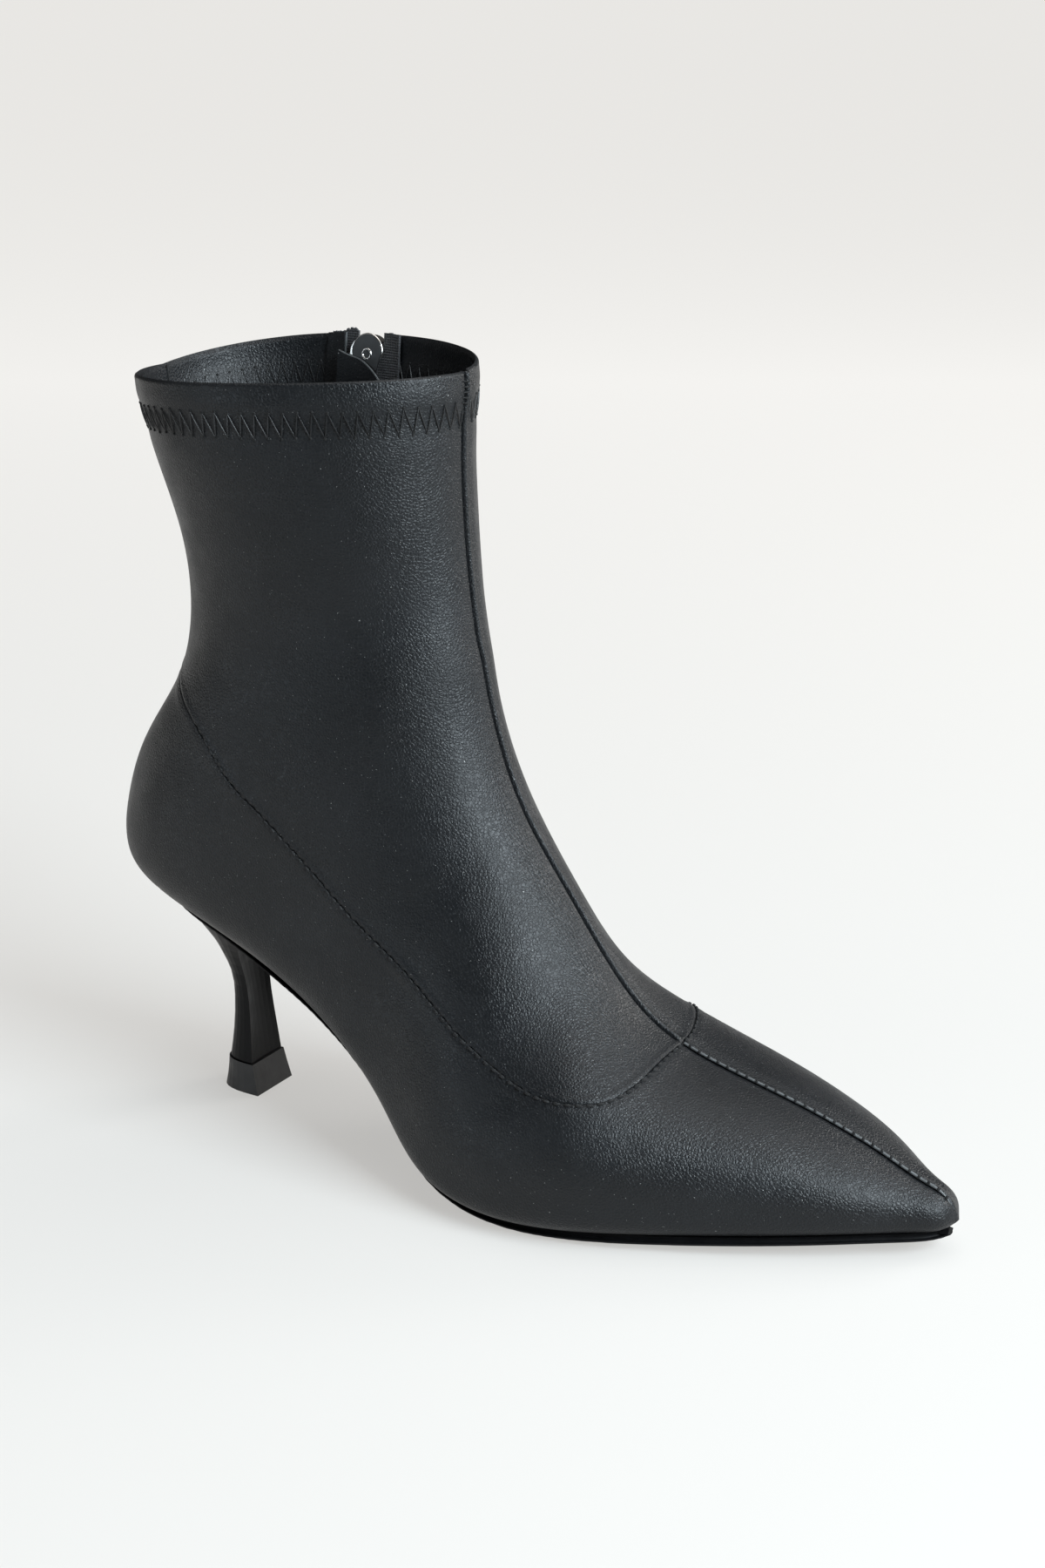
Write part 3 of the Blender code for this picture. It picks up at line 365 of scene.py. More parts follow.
def stitches(starts, ends, normals, radius, bow, rings=7, sides=6):
    """Short threads from starts to ends: round bars whose radius follows a half ellipse and whose middle
    bows out along the surface's normal."""
    share = np.linspace(0.0, 1.0, rings)
    middle = (starts[:, None] + (ends - starts)[:, None] * share[:, None]
              + normals[:, None] * (bow * np.sin(math.pi * share))[:, None])
    thick = radius * np.clip(1 - np.abs(2 * share - 1) ** 3, 0.12, 1) ** 0.5
    round_ways = round_frame(unit(ends - starts), normals, sides)
    rounds = middle[:, :, None] + thick[:, None, None] * round_ways[:, None]
    index = np.arange(len(starts) * rings * sides).reshape(len(starts), rings, sides)
    return rounds.reshape(-1, 3), ring_quads(index) + index[:, 0].tolist() + index[:, -1, ::-1].tolist()


# The lap seam between foot and shaft: share and turn from the vamp point to the heel's back
LAP_LINE = np.array((
    (0.2355, 0.0), (0.2355, 0.09), (0.2365, 0.18), (0.2425, 0.255), (0.2555, 0.305), (0.2760, 0.333),
    (0.303, 0.350), (0.343, 0.362), (0.384, 0.381), (0.426, 0.414), (0.468, 0.452), (0.507, 0.487),
    (0.544, 0.512), (0.585, 0.519), (0.619, 0.514), (0.654, 0.508), (0.689, 0.525), (0.725, 0.578),
    (0.762, 0.670), (0.802, 0.817), (0.836, 1.0)))
LAP_FRONT_INNER = np.array((
    (0.2355, 0.0), (0.2385, 0.062), (0.2465, 0.135), (0.2600, 0.210), (0.2810, 0.278), (0.310, 0.325)))
SHARE_MM = 380.0
TURN_MM = 115.0
VAMP_SHARE = LAP_LINE[0, 0]
LAP_END_SHARE = LAP_LINE[-1, 0]
LAP_SAMPLES = 1500


def lap_curve(line):
    """The lap line as a smooth curve: share and turn each a natural spline over the length so far."""
    knots = run_lengths(line * (SHARE_MM, TURN_MM))
    curve = natural_spline(knots, line, np.linspace(0.0, knots[-1], LAP_SAMPLES))
    curve[:, 0] = np.maximum.accumulate(curve[:, 0]) + np.linspace(0.0, 1e-6, LAP_SAMPLES)
    return curve


LAP = {OUTER: lap_curve(LAP_LINE), INNER: lap_curve(np.concatenate([LAP_FRONT_INNER, LAP_LINE[7:]]))}


def lap_turn(shares, side):
    """Turn of the lap seam at each share; 1 past its back end."""
    return np.interp(shares, LAP[side][:, 0], LAP[side][:, 1], right=1.0)


def line_distance(points, line):
    """Least distance of every point to the points of a line, one point of the line at a time."""
    least = np.full(points.shape[:-1], 1e12)
    for place in line:
        least = np.minimum(least, ((points - place) ** 2).sum(axis=-1))
    return np.sqrt(least)


LAP_POINTS = {side: last_point(LAP[side][::4, 0], side * LAP[side][::4, 1]) for side in (OUTER, INNER)}

CREST_PROFILE = np.array(((-3.0, 0.0), (-1.6, 0.06), (-0.75, -0.02), (-0.45, -0.60), (-0.2, -0.95),
                          (0.0, -0.60), (0.2, 0.20), (0.55, 0.62), (1.0, 0.72), (1.5, 0.55), (2.1, -0.10),
                          (2.9, -0.48), (4.0, -0.32), (6.0, 0.0)))
CREST_COLUMNS = np.array((0.0, 0.12, 0.25, 0.4, 0.55, 0.75, 1.0, 1.3, 1.65, 2.05, 2.5, 3.1, 3.9, 4.9))
CREST_NARROWS = 60.0
CREST_SHIFT_TOE = 1.1
TOE_GROOVE = 0.3


def toe_shift(shares):
    """How far the front seam's line runs to the outer side near the toe."""
    return CREST_SHIFT_TOE * (1 - smoothstep(shares, 0.03, 0.08))


def crest_relief(shares, turns):
    """The front seam across its own line: a groove on the outer side, a rounded ridge, and a shallow
    valley beyond it. Near the toe the line runs a little to the outer side."""
    distance = crest_distance(shares, turns) + toe_shift(shares)
    height = np.interp(distance, CREST_PROFILE[:, 0], CREST_PROFILE[:, 1])
    groove = TOE_GROOVE + (1 - TOE_GROOVE) * smoothstep(shares, VAMP_SHARE - 0.004, VAMP_SHARE + 0.004)
    height = np.where((distance < 0.5) & (height < 0.0), height * groove, height)
    return height * smoothstep(shares, 0.0, 0.03)


# Foot panel
FOOT_EDGE_TUCK = 1.2
FOOT_NEAR_EDGE = np.array((0.0, 0.45, 0.75, 0.95, 1.1, 1.25, 1.4, 1.6, 1.9, 2.4, 3.1))
FOOT_CREST_REACH = 8.0
EDGE_REACH = 6.0
FRONT_COLUMNS = 26
SIDE_COLUMNS = 60
TOE_EDGE_TURN = {OUTER: 0.17, INNER: 0.03}
LASTING_MARGIN = 9.0
SEAT_ROUND = 26.0
SEAT_MARGIN_X = 14.0
FLAT_SHARE = 0.88
LEATHER = 1.0
LEATHER_AT_TOE = 0.15
FOOT_ROWS = np.concatenate([np.linspace(0.0, 0.2325, 112), np.arange(0.2335, 0.252, 0.0009),
                            np.linspace(0.2535, LAP_END_SHARE + 0.006, 160)])


def under_turn(shares, side, margin=LASTING_MARGIN):
    """Turn where the leather that is lasted under the foot ends: the flat half width less the margin,
    measured from the back point, rounded at the heel; 1 where the section closes behind the heel."""
    table, length = LAST[side]
    back_low = np.where(TABLE_SHARES < 0.7, table[:, -1, 0], 0.0)
    flat = np.abs(table[:, :, 1] - table[:, -1:, 1]).max(axis=1) * FLAT_SHARE - margin
    turned = np.clip((SEAT_MARGIN_X + SEAT_ROUND - back_low) / SEAT_ROUND, 0.0, 1.0)
    open_width = np.clip(flat, 0.0, None) * np.sqrt(1 - turned ** 2)
    return np.interp(shares, TABLE_SHARES, 1 - open_width / length)


def foot_half(side):
    """Half of the foot panel: rows of constant share from the toe to the lap seam's back end, columns
    from the crest or the lap seam round to the lasted edge, closer together at the two seams."""
    length = section_length(FOOT_ROWS, side)[:, None]
    past = (FOOT_ROWS > VAMP_SHARE)[:, None]
    under_lap = np.maximum(lap_turn(FOOT_ROWS, side)[:, None] - FOOT_EDGE_TUCK / length, 0.0)
    edge = np.where(past, under_lap, TOE_EDGE_TURN[side])
    dense = CREST_COLUMNS / np.maximum(length, CREST_NARROWS)
    dense = np.minimum(dense, edge * CREST_COLUMNS / FOOT_CREST_REACH)
    rest = np.linspace(0.0, 1.0, FRONT_COLUMNS - len(CREST_COLUMNS) + 2)[1:-1]
    front = np.concatenate([dense, dense[:, -1:] + (edge - dense[:, -1:]) * rest], axis=1)
    room = np.maximum(under_turn(FOOT_ROWS, side)[:, None] - edge, 0.0)
    near = np.minimum(FOOT_NEAR_EDGE / length, room * FOOT_NEAR_EDGE / EDGE_REACH)
    far = near[:, -1:] + np.linspace(0.0, 1.0, SIDE_COLUMNS)[1:] * (room - near[:, -1:])
    turns = np.concatenate([front, edge + near, edge + far], axis=1)
    shares = np.broadcast_to(FOOT_ROWS[:, None], turns.shape)
    front_end = VAMP_SHARE + FOOT_EDGE_TUCK / SHARE_MM
    kept = (FOOT_ROWS[1:] <= front_end)[:, None] | (np.arange(turns.shape[1] - 1) >= FRONT_COLUMNS)
    return shares, side * turns, kept


def foot_relief(shares, turns, points, side):
    """Height over the last: dipping under the shaft at the lap seam, with the toe seam in front."""
    distance = line_distance(points, LAP_POINTS[side])
    under = (shares > VAMP_SHARE) & (np.abs(turns) < lap_turn(shares, side))
    signed = np.where(under, -distance, distance)
    dip = -0.45 * (1 - smoothstep(signed, -0.55, 0.40))
    swell = 0.10 * bump(signed, 2.0, 2.0)
    toe = crest_relief(shares, turns) * (1 - smoothstep(shares, VAMP_SHARE - 0.004, VAMP_SHARE + 0.002))
    return dip + swell + toe + hand_creases(points, signed)


CREASES = (
    # start, end, half width, height
    ((150.0, -43.0, 40.0), (128.0, -43.0, 30.0), 5.0, -0.30),
    ((176.0, -36.0, 30.0), (160.0, -43.0, 22.0), 6.0, -0.22),
    ((120.0, -36.0, 74.0), (96.0, -36.0, 52.0), 8.0, -0.35),
    ((128.0, -22.0, 92.0), (104.0, -34.0, 78.0), 7.0, -0.40),
    ((123.0, -14.0, 104.0), (100.0, -33.0, 96.0), 6.0, 0.30),
    ((30.0, -26.0, 100.0), (10.0, -18.0, 84.0), 9.0, 0.25),
)


def hand_creases(points, signed):
    """Soft troughs and ridges, as listed: each is a cosine hill across the distance to its own straight
    line, which fades out at the lap seam."""
    height = np.zeros(points.shape[:-1])
    for start, end, half_width, rise in CREASES:
        start = np.array(start)
        way = np.array(end) - start
        place = np.clip(((points - start) @ way) / (way @ way), 0.0, 1.0)
        distance = np.linalg.norm(points - start - place[..., None] * way, axis=-1)
        height += rise * bump(distance, 0.0, half_width)
    return height * smoothstep(np.abs(signed), 0.5, 4.0)


def foot_panel():
    """Both halves of the foot panel, raised by their relief and joined."""
    points, faces, count = [], [], 0
    for side in (OUTER, INNER):
        shares, turns, kept = foot_half(side)
        base = last_point(shares, turns)
        raised = base + last_normal(shares, turns) * foot_relief(shares, turns, base, side)[..., None]
        quads = grid_quads(*shares.shape, keep=kept)
        points.append(raised.reshape(-1, 3))
        faces.append(count + (quads[:, ::-1] if side == OUTER else quads))
        count += shares.size
    points = np.concatenate(points)
    thick = LEATHER * smoothstep(TOE_X - points[:, 0], -0.5, 6.0) + LEATHER_AT_TOE
    return thickened(points, thick, np.concatenate(faces))


# Shaft panel
ROWS_AT_VAMP = np.array((0.0, 0.0006, 0.0013, 0.0021, 0.003, 0.0042, 0.0056, 0.0075))
ROWS_AT_RIM = np.array((0.0125, 0.0100, 0.0078, 0.0058, 0.0041, 0.0027, 0.0016, 0.0007, 0.0))
SHAFT_ROWS = np.concatenate([VAMP_SHARE + ROWS_AT_VAMP, np.linspace(0.245, 0.985, 172), 1 - ROWS_AT_RIM])
SHAFT_CREST_REACH = 10.0
SHAFT_HALF_COLUMNS = 98
SHAFT_NEAR_EDGE = np.array((2.2, 1.5, 1.0, 0.65, 0.4, 0.2, 0.0))
HEM_DEPTH = 18.0
HEM_THICKNESS = 2.0
RIM_ROUND = 0.9
THINNEST = 0.2
ZIP_X = 54.0
SLOT_HALF = 3.6
SLOT_HALF_TOP = 5.4
SLOT_TOP_FROM_Z = 204.5
SLOT_NEAR = 12.0
ZIP_BOTTOM_Z = 104.0


def rim_depth(shares, turns):
    """Length from each point up to the collar's edge, along its line of constant turn, read from a table
    of such lengths."""
    steps = np.linspace(RIM_FROM_SHARE, 1.0, 160)
    lines = upright_lines(np.linspace(-1.0, 1.0, 81), steps)
    lengths = run_lengths(lines[:, ::-1])[:, ::-1]
    row = np.clip((shares - RIM_FROM_SHARE) / (1 - RIM_FROM_SHARE), 0.0, 1.0) * (len(steps) - 1)
    return grid_read(lengths.T, row, (turns + 1) / 2 * (len(lines) - 1))


def rim_rounding(depth):
    """How much a quarter round at the collar's edge takes away, by the length below the edge."""
    return RIM_ROUND * (1 - np.sqrt(1 - np.clip(1 - depth / RIM_ROUND, 0.0, 1.0) ** 2))


def shaft_relief(shares, turns, points):
    """Height over the last: a rounded lap edge, the front seam, a collar that is puffed above its
    stitching and drawn in along it, and the rounded rim."""
    outer, inner = (line_distance(points, LAP_POINTS[side]) for side in (OUTER, INNER))
    distance = np.where(turns < 0, outer, inner)
    lap = 0.16 * bump(distance, 1.1, 1.3) - 0.60 * (1 - smoothstep(distance, -0.35, 0.45))
    depth = rim_depth(shares, turns)
    collar = 0.38 * bump(depth, 5.0, 5.0) - 0.22 * bump(depth, 13.0, 6.5)
    crest = crest_relief(shares, turns) * smoothstep(distance, 0.2, 2.5)
    return lap + collar - rim_rounding(depth) + crest + hand_creases(points, distance)


def on_shaft(shares, turns, lift):
    """Points on the shaft panel's outside, lifted along the normal, and those normals."""
    base = last_point(shares, turns)
    normal = last_normal(shares, turns)
    return base + normal * (shaft_relief(shares, turns, base) + lift)[..., None], normal


def slot_cut(points, quads):
    """The panel with the zip's slot left out: its faces on the inner side are cut along the slot's
    upright edges and its foot, and those between them are taken away."""
    flat = bpy.data.meshes.new("slot")
    flat.from_pydata(points.tolist(), [], quads.tolist())
    mesh = bmesh.new()
    mesh.from_mesh(flat)
    near = []
    for face in mesh.faces:
        middle = face.calc_center_median()
        if middle.y > 0 and abs(middle.x - ZIP_X) < SLOT_NEAR and middle.z > ZIP_BOTTOM_Z - SLOT_NEAR / 2:
            near.append(face)
    cuts = [((ZIP_X + reach, 0.0, 0.0), (1.0, 0.0, 0.0))
            for reach in (-SLOT_HALF_TOP, -SLOT_HALF, SLOT_HALF, SLOT_HALF_TOP)]
    cuts += [((0.0, 0.0, height), (0.0, 0.0, 1.0)) for height in (ZIP_BOTTOM_Z, SLOT_TOP_FROM_Z)]
    for place, direction in cuts:
        edges = {edge for face in near for edge in face.edges}
        corners = {corner for face in near for corner in face.verts}
        done = bmesh.ops.bisect_plane(mesh, geom=list(corners) + list(edges) + near,
                                      plane_co=place, plane_no=direction)
        near = [part for part in done["geom"] if isinstance(part, bmesh.types.BMFace)]
    gone = []
    for face in near:
        middle = face.calc_center_median()
        half = SLOT_HALF_TOP if middle.z > SLOT_TOP_FROM_Z else SLOT_HALF
        if abs(middle.x - ZIP_X) < half and middle.z > ZIP_BOTTOM_Z:
            gone.append(face)
    bmesh.ops.delete(mesh, geom=gone, context="FACES")
    bmesh.ops.triangulate(mesh, faces=mesh.faces[:])
    mesh.to_mesh(flat)
    mesh.free()
    new_points = np.empty(len(flat.vertices) * 3)
    flat.vertices.foreach_get("co", new_points)
    new_faces = np.empty(len(flat.loops), int)
    flat.loops.foreach_get("vertex_index", new_faces)
    bpy.data.meshes.remove(flat)
    return new_points.reshape(-1, 3), new_faces.reshape(-1, 3)


def shaft_panel():
    """The shaft as one sheet round the leg, folded over at the collar as a hem, open at the zip."""
    halves = []
    for side in (OUTER, INNER):
        length = np.maximum(section_length(SHAFT_ROWS, side)[:, None], CREST_NARROWS)
        edge = lap_turn(SHAFT_ROWS, side)[:, None]
        near = np.minimum(SHAFT_NEAR_EDGE / length, edge * SHAFT_NEAR_EDGE / EDGE_REACH)
        room = edge - near[:, :1]
        crest = np.minimum(CREST_COLUMNS / length, room * CREST_COLUMNS / SHAFT_CREST_REACH)
        middle = crest[:, -1:] + (room - crest[:, -1:]) * np.linspace(0.0, 1.0, SHAFT_HALF_COLUMNS)[1:-1]
        halves.append(side * np.concatenate([crest, middle, edge - near], axis=1))
    turns = np.concatenate([halves[0][:, ::-1], halves[1][:, 1:]], axis=1)
    shares = np.broadcast_to(SHAFT_ROWS[:, None], turns.shape)
    flat = on_shaft(shares, turns, 0.0)[0].reshape(-1, 3)
    chosen, quads = welded(flat, grid_quads(*shares.shape))
    points, faces = slot_cut(flat[chosen], quads)
    gap = line_distance(points, flat[shares.reshape(-1) == 1.0][::3])
    hem = smoothstep(HEM_DEPTH - gap, -0.25, 0.25)
    depth = LEATHER + (HEM_THICKNESS - LEATHER) * hem - rim_rounding(gap)
    return thickened(points, np.maximum(depth, THINNEST), faces)


# Lining
LINING_DEPTH = 1.15
LINING = 0.45
LINING_MARGIN = 4.0
LINING_ROWS = np.linspace(0.015, 0.93, 170)
LINING_COLUMNS = np.linspace(-1.0, 1.0, 150)


def lining_panel():
    """The lining: the last's surface moved in under the leather, from the toe to under the hem."""
    outer, inner = (under_turn(LINING_ROWS, side, LINING_MARGIN)[:, None] for side in (OUTER, INNER))
    turns = LINING_COLUMNS * np.where(LINING_COLUMNS < 0, outer, inner)
    shares = np.broadcast_to(LINING_ROWS[:, None], turns.shape)
    points = last_point(shares, turns)
    inset = np.minimum(LINING_DEPTH, 0.1 + 0.25 * (TOE_X - points[..., 0:1]))
    flat = (points - last_normal(shares, turns) * inset).reshape(-1, 3)
    chosen, quads = welded(flat, grid_quads(*shares.shape))
    cut_points, faces = slot_cut(flat[chosen], quads)
    return thickened(cut_points, LINING, faces)


# Materials. Scales are per metre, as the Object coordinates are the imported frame's metres
def shader(name, colour, roughness):
    """A material with its Principled node; returns the material, its tree and that node."""
    material = bpy.data.materials.new(name)
    material.use_nodes = True
    tree = material.node_tree
    principled = tree.nodes["Principled BSDF"]
    principled.inputs["Base Color"].default_value = (*colour, 1.0)
    principled.inputs["Roughness"].default_value = roughness
    return material, tree, principled


def texture(tree, kind, scale):
    """A texture node of the given kind over the Object coordinates."""
    node = tree.nodes.new(kind)
    node.inputs["Scale"].default_value = scale
    tree.links.new(tree.nodes.new("ShaderNodeTexCoord").outputs["Object"], node.inputs["Vector"])
    return node


def noise(tree, scale, detail=3.0, roughness=0.5):
    """A noise texture: its value's socket."""
    node = texture(tree, "ShaderNodeTexNoise", scale)
    node.inputs["Detail"].default_value = detail
    node.inputs["Roughness"].default_value = roughness
    return node.outputs["Fac"]


def cells(tree, scale):
    """A cell texture: the socket of its distance to the cells' edges."""
    node = texture(tree, "ShaderNodeTexVoronoi", scale)
    node.feature = "DISTANCE_TO_EDGE"
    return node.outputs["Distance"]


def ramp(tree, value, stops):
    """Colours mixed along a value: stops are (place, colour)."""
    node = tree.nodes.new("ShaderNodeValToRGB")
    elements = node.color_ramp.elements
    while len(elements) < len(stops):
        elements.new(0.5)
    for element, (place, colour) in zip(elements, stops):
        element.position = place
        element.color = (*colour, 1.0)
    tree.links.new(value, node.inputs["Fac"])
    return node.outputs["Color"]


def spread(tree, value, low, high, from_low=0.3, from_high=0.7):
    """A value's range moved to low .. high."""
    node = tree.nodes.new("ShaderNodeMapRange")
    node.inputs["From Min"].default_value = from_low
    node.inputs["From Max"].default_value = from_high
    node.inputs["To Min"].default_value = low
    node.inputs["To Max"].default_value = high
    tree.links.new(value, node.inputs["Value"])
    return node.outputs["Result"]


def bumped(tree, principled, layers):
    """Bump nodes in a row, one for each (height, strength, distance in metres)."""
    normal = None
    for height, strength, distance in layers:
        node = tree.nodes.new("ShaderNodeBump")
        node.inputs["Strength"].default_value = strength
        node.inputs["Distance"].default_value = distance
        tree.links.new(height, node.inputs["Height"])
        if normal is not None:
            tree.links.new(normal, node.inputs["Normal"])
        normal = node.outputs["Normal"]
    tree.links.new(normal, principled.inputs["Normal"])


def leather():
    """Black faux leather: a fine pebble grain under a satin finish, with slow changes of gloss, faint
    waves, and a few specks of dust."""
    material, tree, principled = shader("black_leather", (0.014, 0.015, 0.018), 0.40)
    slow = noise(tree, 38.0, 4.0, 0.55)
    base = ramp(tree, slow, ((0.3, (0.0036, 0.0042, 0.0050)), (0.7, (0.0062, 0.0071, 0.0084))))
    dust = ramp(tree, noise(tree, 2600.0, 1.0), ((0.775, (0.0, 0.0, 0.0)), (0.80, (1.0, 1.0, 1.0))))
    mix = tree.nodes.new("ShaderNodeMix")
    mix.data_type = "RGBA"
    tree.links.new(dust, mix.inputs["Factor"])
    tree.links.new(base, mix.inputs["A"])
    mix.inputs["B"].default_value = (0.34, 0.34, 0.33, 1.0)
    tree.links.new(mix.outputs["Result"], principled.inputs["Base Color"])
    tree.links.new(spread(tree, noise(tree, 85.0, 5.0, 0.6), 0.36, 0.50), principled.inputs["Roughness"])
    principled.inputs["Specular IOR Level"].default_value = 0.27
    principled.inputs["Coat Weight"].default_value = 0.05
    principled.inputs["Coat Roughness"].default_value = 0.30
    pebble = spread(tree, cells(tree, 1150.0), 0.0, 1.0, 0.0, 0.28)
    bumped(tree, principled, ((noise(tree, 55.0, 3.0), 0.30, 0.0010), (pebble, 0.55, 0.00015),
                              (noise(tree, 1500.0, 3.0), 0.22, 0.00014)))
    return material


def plain(name, colour, roughness, grain=900.0, grain_depth=0.0001, strength=0.4, metal=0.0, vary=0.3,
          shine=0.5):
    """A material with a slow change of colour and gloss and a fine grain."""
    material, tree, principled = shader(name, colour, roughness)
    low, high = (tuple(channel * share for channel in colour) for share in (1 - vary, 1 + vary))
    base = ramp(tree, noise(tree, 160.0, 4.0), ((0.3, low), (0.7, high)))
    tree.links.new(base, principled.inputs["Base Color"])
    tree.links.new(spread(tree, noise(tree, 240.0, 4.0), roughness * 0.85, min(1.0, roughness * 1.2)),
                   principled.inputs["Roughness"])
    principled.inputs["Metallic"].default_value = metal
    principled.inputs["Specular IOR Level"].default_value = shine
    bumped(tree, principled, ((noise(tree, grain, 3.0), strength, grain_depth),))
    return material


WAVE_SCALE = 1 / 3.18


def weave(name, colour, pitch):
    """Woven tape: two crossed bands of waves of one pitch, in metres, with fine fuzz."""
    material, tree, principled = shader(name, colour, 0.85)
    heights = []
    for direction in ("X", "Z"):
        node = texture(tree, "ShaderNodeTexWave", WAVE_SCALE / pitch)
        node.bands_direction = direction
        node.inputs["Distortion"].default_value = 0.6
        heights.append(node.outputs["Fac"])
    bumped(tree, principled, ((heights[0], 0.7, pitch * 0.25), (heights[1], 0.7, pitch * 0.25),
                              (noise(tree, 5000.0, 2.0), 0.5, 0.0001)))
    # Painted shade: the tape's colour drops to 0.55 of itself in the hollows of the Z bands, where the bump
    # sinks between the ribs
    low = tuple(channel * 0.55 for channel in colour)
    tree.links.new(ramp(tree, heights[1], ((0.2, low), (0.8, colour))), principled.inputs["Base Color"])
    principled.inputs["Sheen Weight"].default_value = 0.25
    return material


LEATHER_LOOK = leather()
LINING_LOOK = plain("black_lining", (0.006, 0.006, 0.0065), 0.7, 1800.0, 0.0001, 0.5)
SOLE_LOOK = plain("black_outsole", (0.0032, 0.0032, 0.0036), 0.62, 700.0, 0.0002, 0.5, shine=0.12)
# Painted highlight: a grey far lighter than the black leather, standing in for the light caught on the
# rounded toe seam cord and on the zip guard's piping
EDGE_HIGHLIGHT_LOOK = plain("painted_highlight_edge", (0.062, 0.066, 0.068), 0.50, 1500.0, 0.00010, 0.4)
HEEL_LOOK = plain("black_heel_cover", (0.0028, 0.0028, 0.0032), 0.36, 900.0, 0.00006, 0.3, shine=0.11)
TIP_LOOK = plain("black_top_piece", (0.007, 0.007, 0.0075), 0.5, 900.0, 0.00012, 0.4)
THREAD_LOOK = plain("black_thread", (0.0035, 0.0035, 0.0040), 0.46, 5000.0, 0.0001, 0.5)
SEAM_THREAD_LOOK = plain("black_seam_thread", (0.0022, 0.0022, 0.0025), 0.85, 5000.0, 0.0001, 0.5)
# Painted shade: a near-black, rough look for the blobs that stand for the shade in the collar's pinholes
PINHOLE_SHADE_LOOK = plain("pinhole_shade", (0.002, 0.002, 0.002), 0.9)
TEETH_LOOK = plain("black_teeth", (0.014, 0.014, 0.016), 0.30, 2500.0, 0.00004, 0.3)
NICKEL_LOOK = plain("nickel", (0.62, 0.60, 0.57), 0.20, 1400.0, 0.00003, 0.3, metal=1.0, vary=0.12)
# Painted reflection: a near-black look for the sheet laid on the nickel slider's inside face, standing in
# for the dark inside of the boot that the metal reflects
SLIDER_SHADE_LOOK = plain("slider_face_painted_reflection", (0.006, 0.006, 0.006), 0.35, 2500.0, 0.00008, 0.4)
INSOLE_LOOK = plain("insole_cover", (0.013, 0.013, 0.014), 0.65, 1300.0, 0.00012, 0.4)
TAPE_LOOK = weave("black_tape", (0.020, 0.020, 0.023), 0.0007)

# Zigzag stitching round the collar, seen outside and inside
ZIGZAG_SLANT = 0.38
ZIGZAG_TOP = 7.5
ZIGZAG_FOOT = 14.2
ZIGZAG_TIPS = 138
ZIGZAG_UNEVEN = 0.16
THREAD = 0.17
THREAD_BOW = 0.16
THREAD_LIFT = 0.10
PINHOLE = 0.42
ZIP_CLEAR = 7.5


def zigzag(lift):
    """Ends and normals of the zigzag's legs: tips alternate between two depths below the collar's edge
    at even turns round the shaft; lift is the height over the panel's outside."""
    lengths = [section_length(1.0, side) for side in (OUTER, INNER)]
    outer = round(ZIGZAG_TIPS * lengths[0] / sum(lengths))
    turns = np.concatenate([np.linspace(-1.0, 0.0, outer, endpoint=False),
                            np.linspace(0.0, 1.0, ZIGZAG_TIPS - outer)])
    turns[1::2] += ZIGZAG_SLANT / ZIGZAG_TIPS
    turns = np.clip(turns, -0.999, 0.999)
    draw = np.random.default_rng(11).normal(0.0, ZIGZAG_UNEVEN, len(turns))
    depths = np.where(np.arange(len(turns)) % 2 == 0, ZIGZAG_TOP, ZIGZAG_FOOT) + draw
    shares = column_shares(turns, depths)
    points, normals = on_shaft(shares, turns, lift)
    keep = (np.abs(points[:, 0] - ZIP_X) > ZIP_CLEAR) | (points[:, 1] < 0)
    both = keep[:-1] & keep[1:]
    return points[:-1][both], points[1:][both], normals[:-1][both], points[keep], normals[keep]


def zigzag_pieces():
    """The thread, and near-black blobs of painted shade at its pinholes, on both faces of the hem."""
    threads, hole_shade_blobs = [], []
    for lift in (THREAD_LIFT, -HEM_THICKNESS - THREAD_LIFT):
        starts, ends, normals, tips, tip_normals = zigzag(lift)
        face = 1 if lift > 0 else -1
        threads.append(stitches(starts, ends, face * normals, THREAD, THREAD_BOW))
        # Painted shade: a near-black blob at each tip stands in for the shadow in the needle hole
        along = unit(np.cross(tip_normals, (0.0, 0.0, 1.0))) * PINHOLE
        sunk = tips - face * tip_normals * THREAD_BOW
        hole_shade_blobs.append(stitches(sunk - along, sunk + along, tip_normals, PINHOLE, 0.0))
    return joined(threads), joined(hole_shade_blobs)


# Seam stitches: dashes laid in the grooves
DASH = 1.75
DASH_PITCH = 2.8
LAP_DASHES_TO_SHARE = 0.745
LAP_DASH = 0.44
LAP_DASH_OUT = 0.36
LAP_DASH_LIFT = 0.10
TOE_CORD = 0.42
TOE_CORD_SIDE = 0.05
TOE_CORD_LIFT = 0.62
TOE_STITCH_PITCH = 2.85
TOE_STITCH = 0.36
TOE_STITCH_BOW = 0.34
TOE_STITCH_OUT = 0.75
TOE_STITCH_IN = 0.45
TOE_STITCH_SLANT = 0.35
BACK_SEAM = 0.32
FRONT_STITCH_DEPTHS = np.array((2.2, 3.6, 5.0, 6.4, 7.8))


def along_line(shares, turns, places=None):
    """Points of a line on the last with their normals and the direction across it that leads to the toe
    and the floor; read again at the given lengths along it, where these are given."""
    points = last_point(shares, turns)
    length = run_lengths(points)
    if places is None:
        places = length
    else:
        shares = np.interp(places, length, shares)
        turns = np.interp(places, length, turns)
    ways = read_along(places, length, np.gradient(points, length, axis=0))
    points = last_point(shares, turns)
    normals = last_normal(shares, turns)
    across = unit(np.cross(ways, normals))
    return points, normals, across * np.sign(across[:, :1] - across[:, 2:]), places


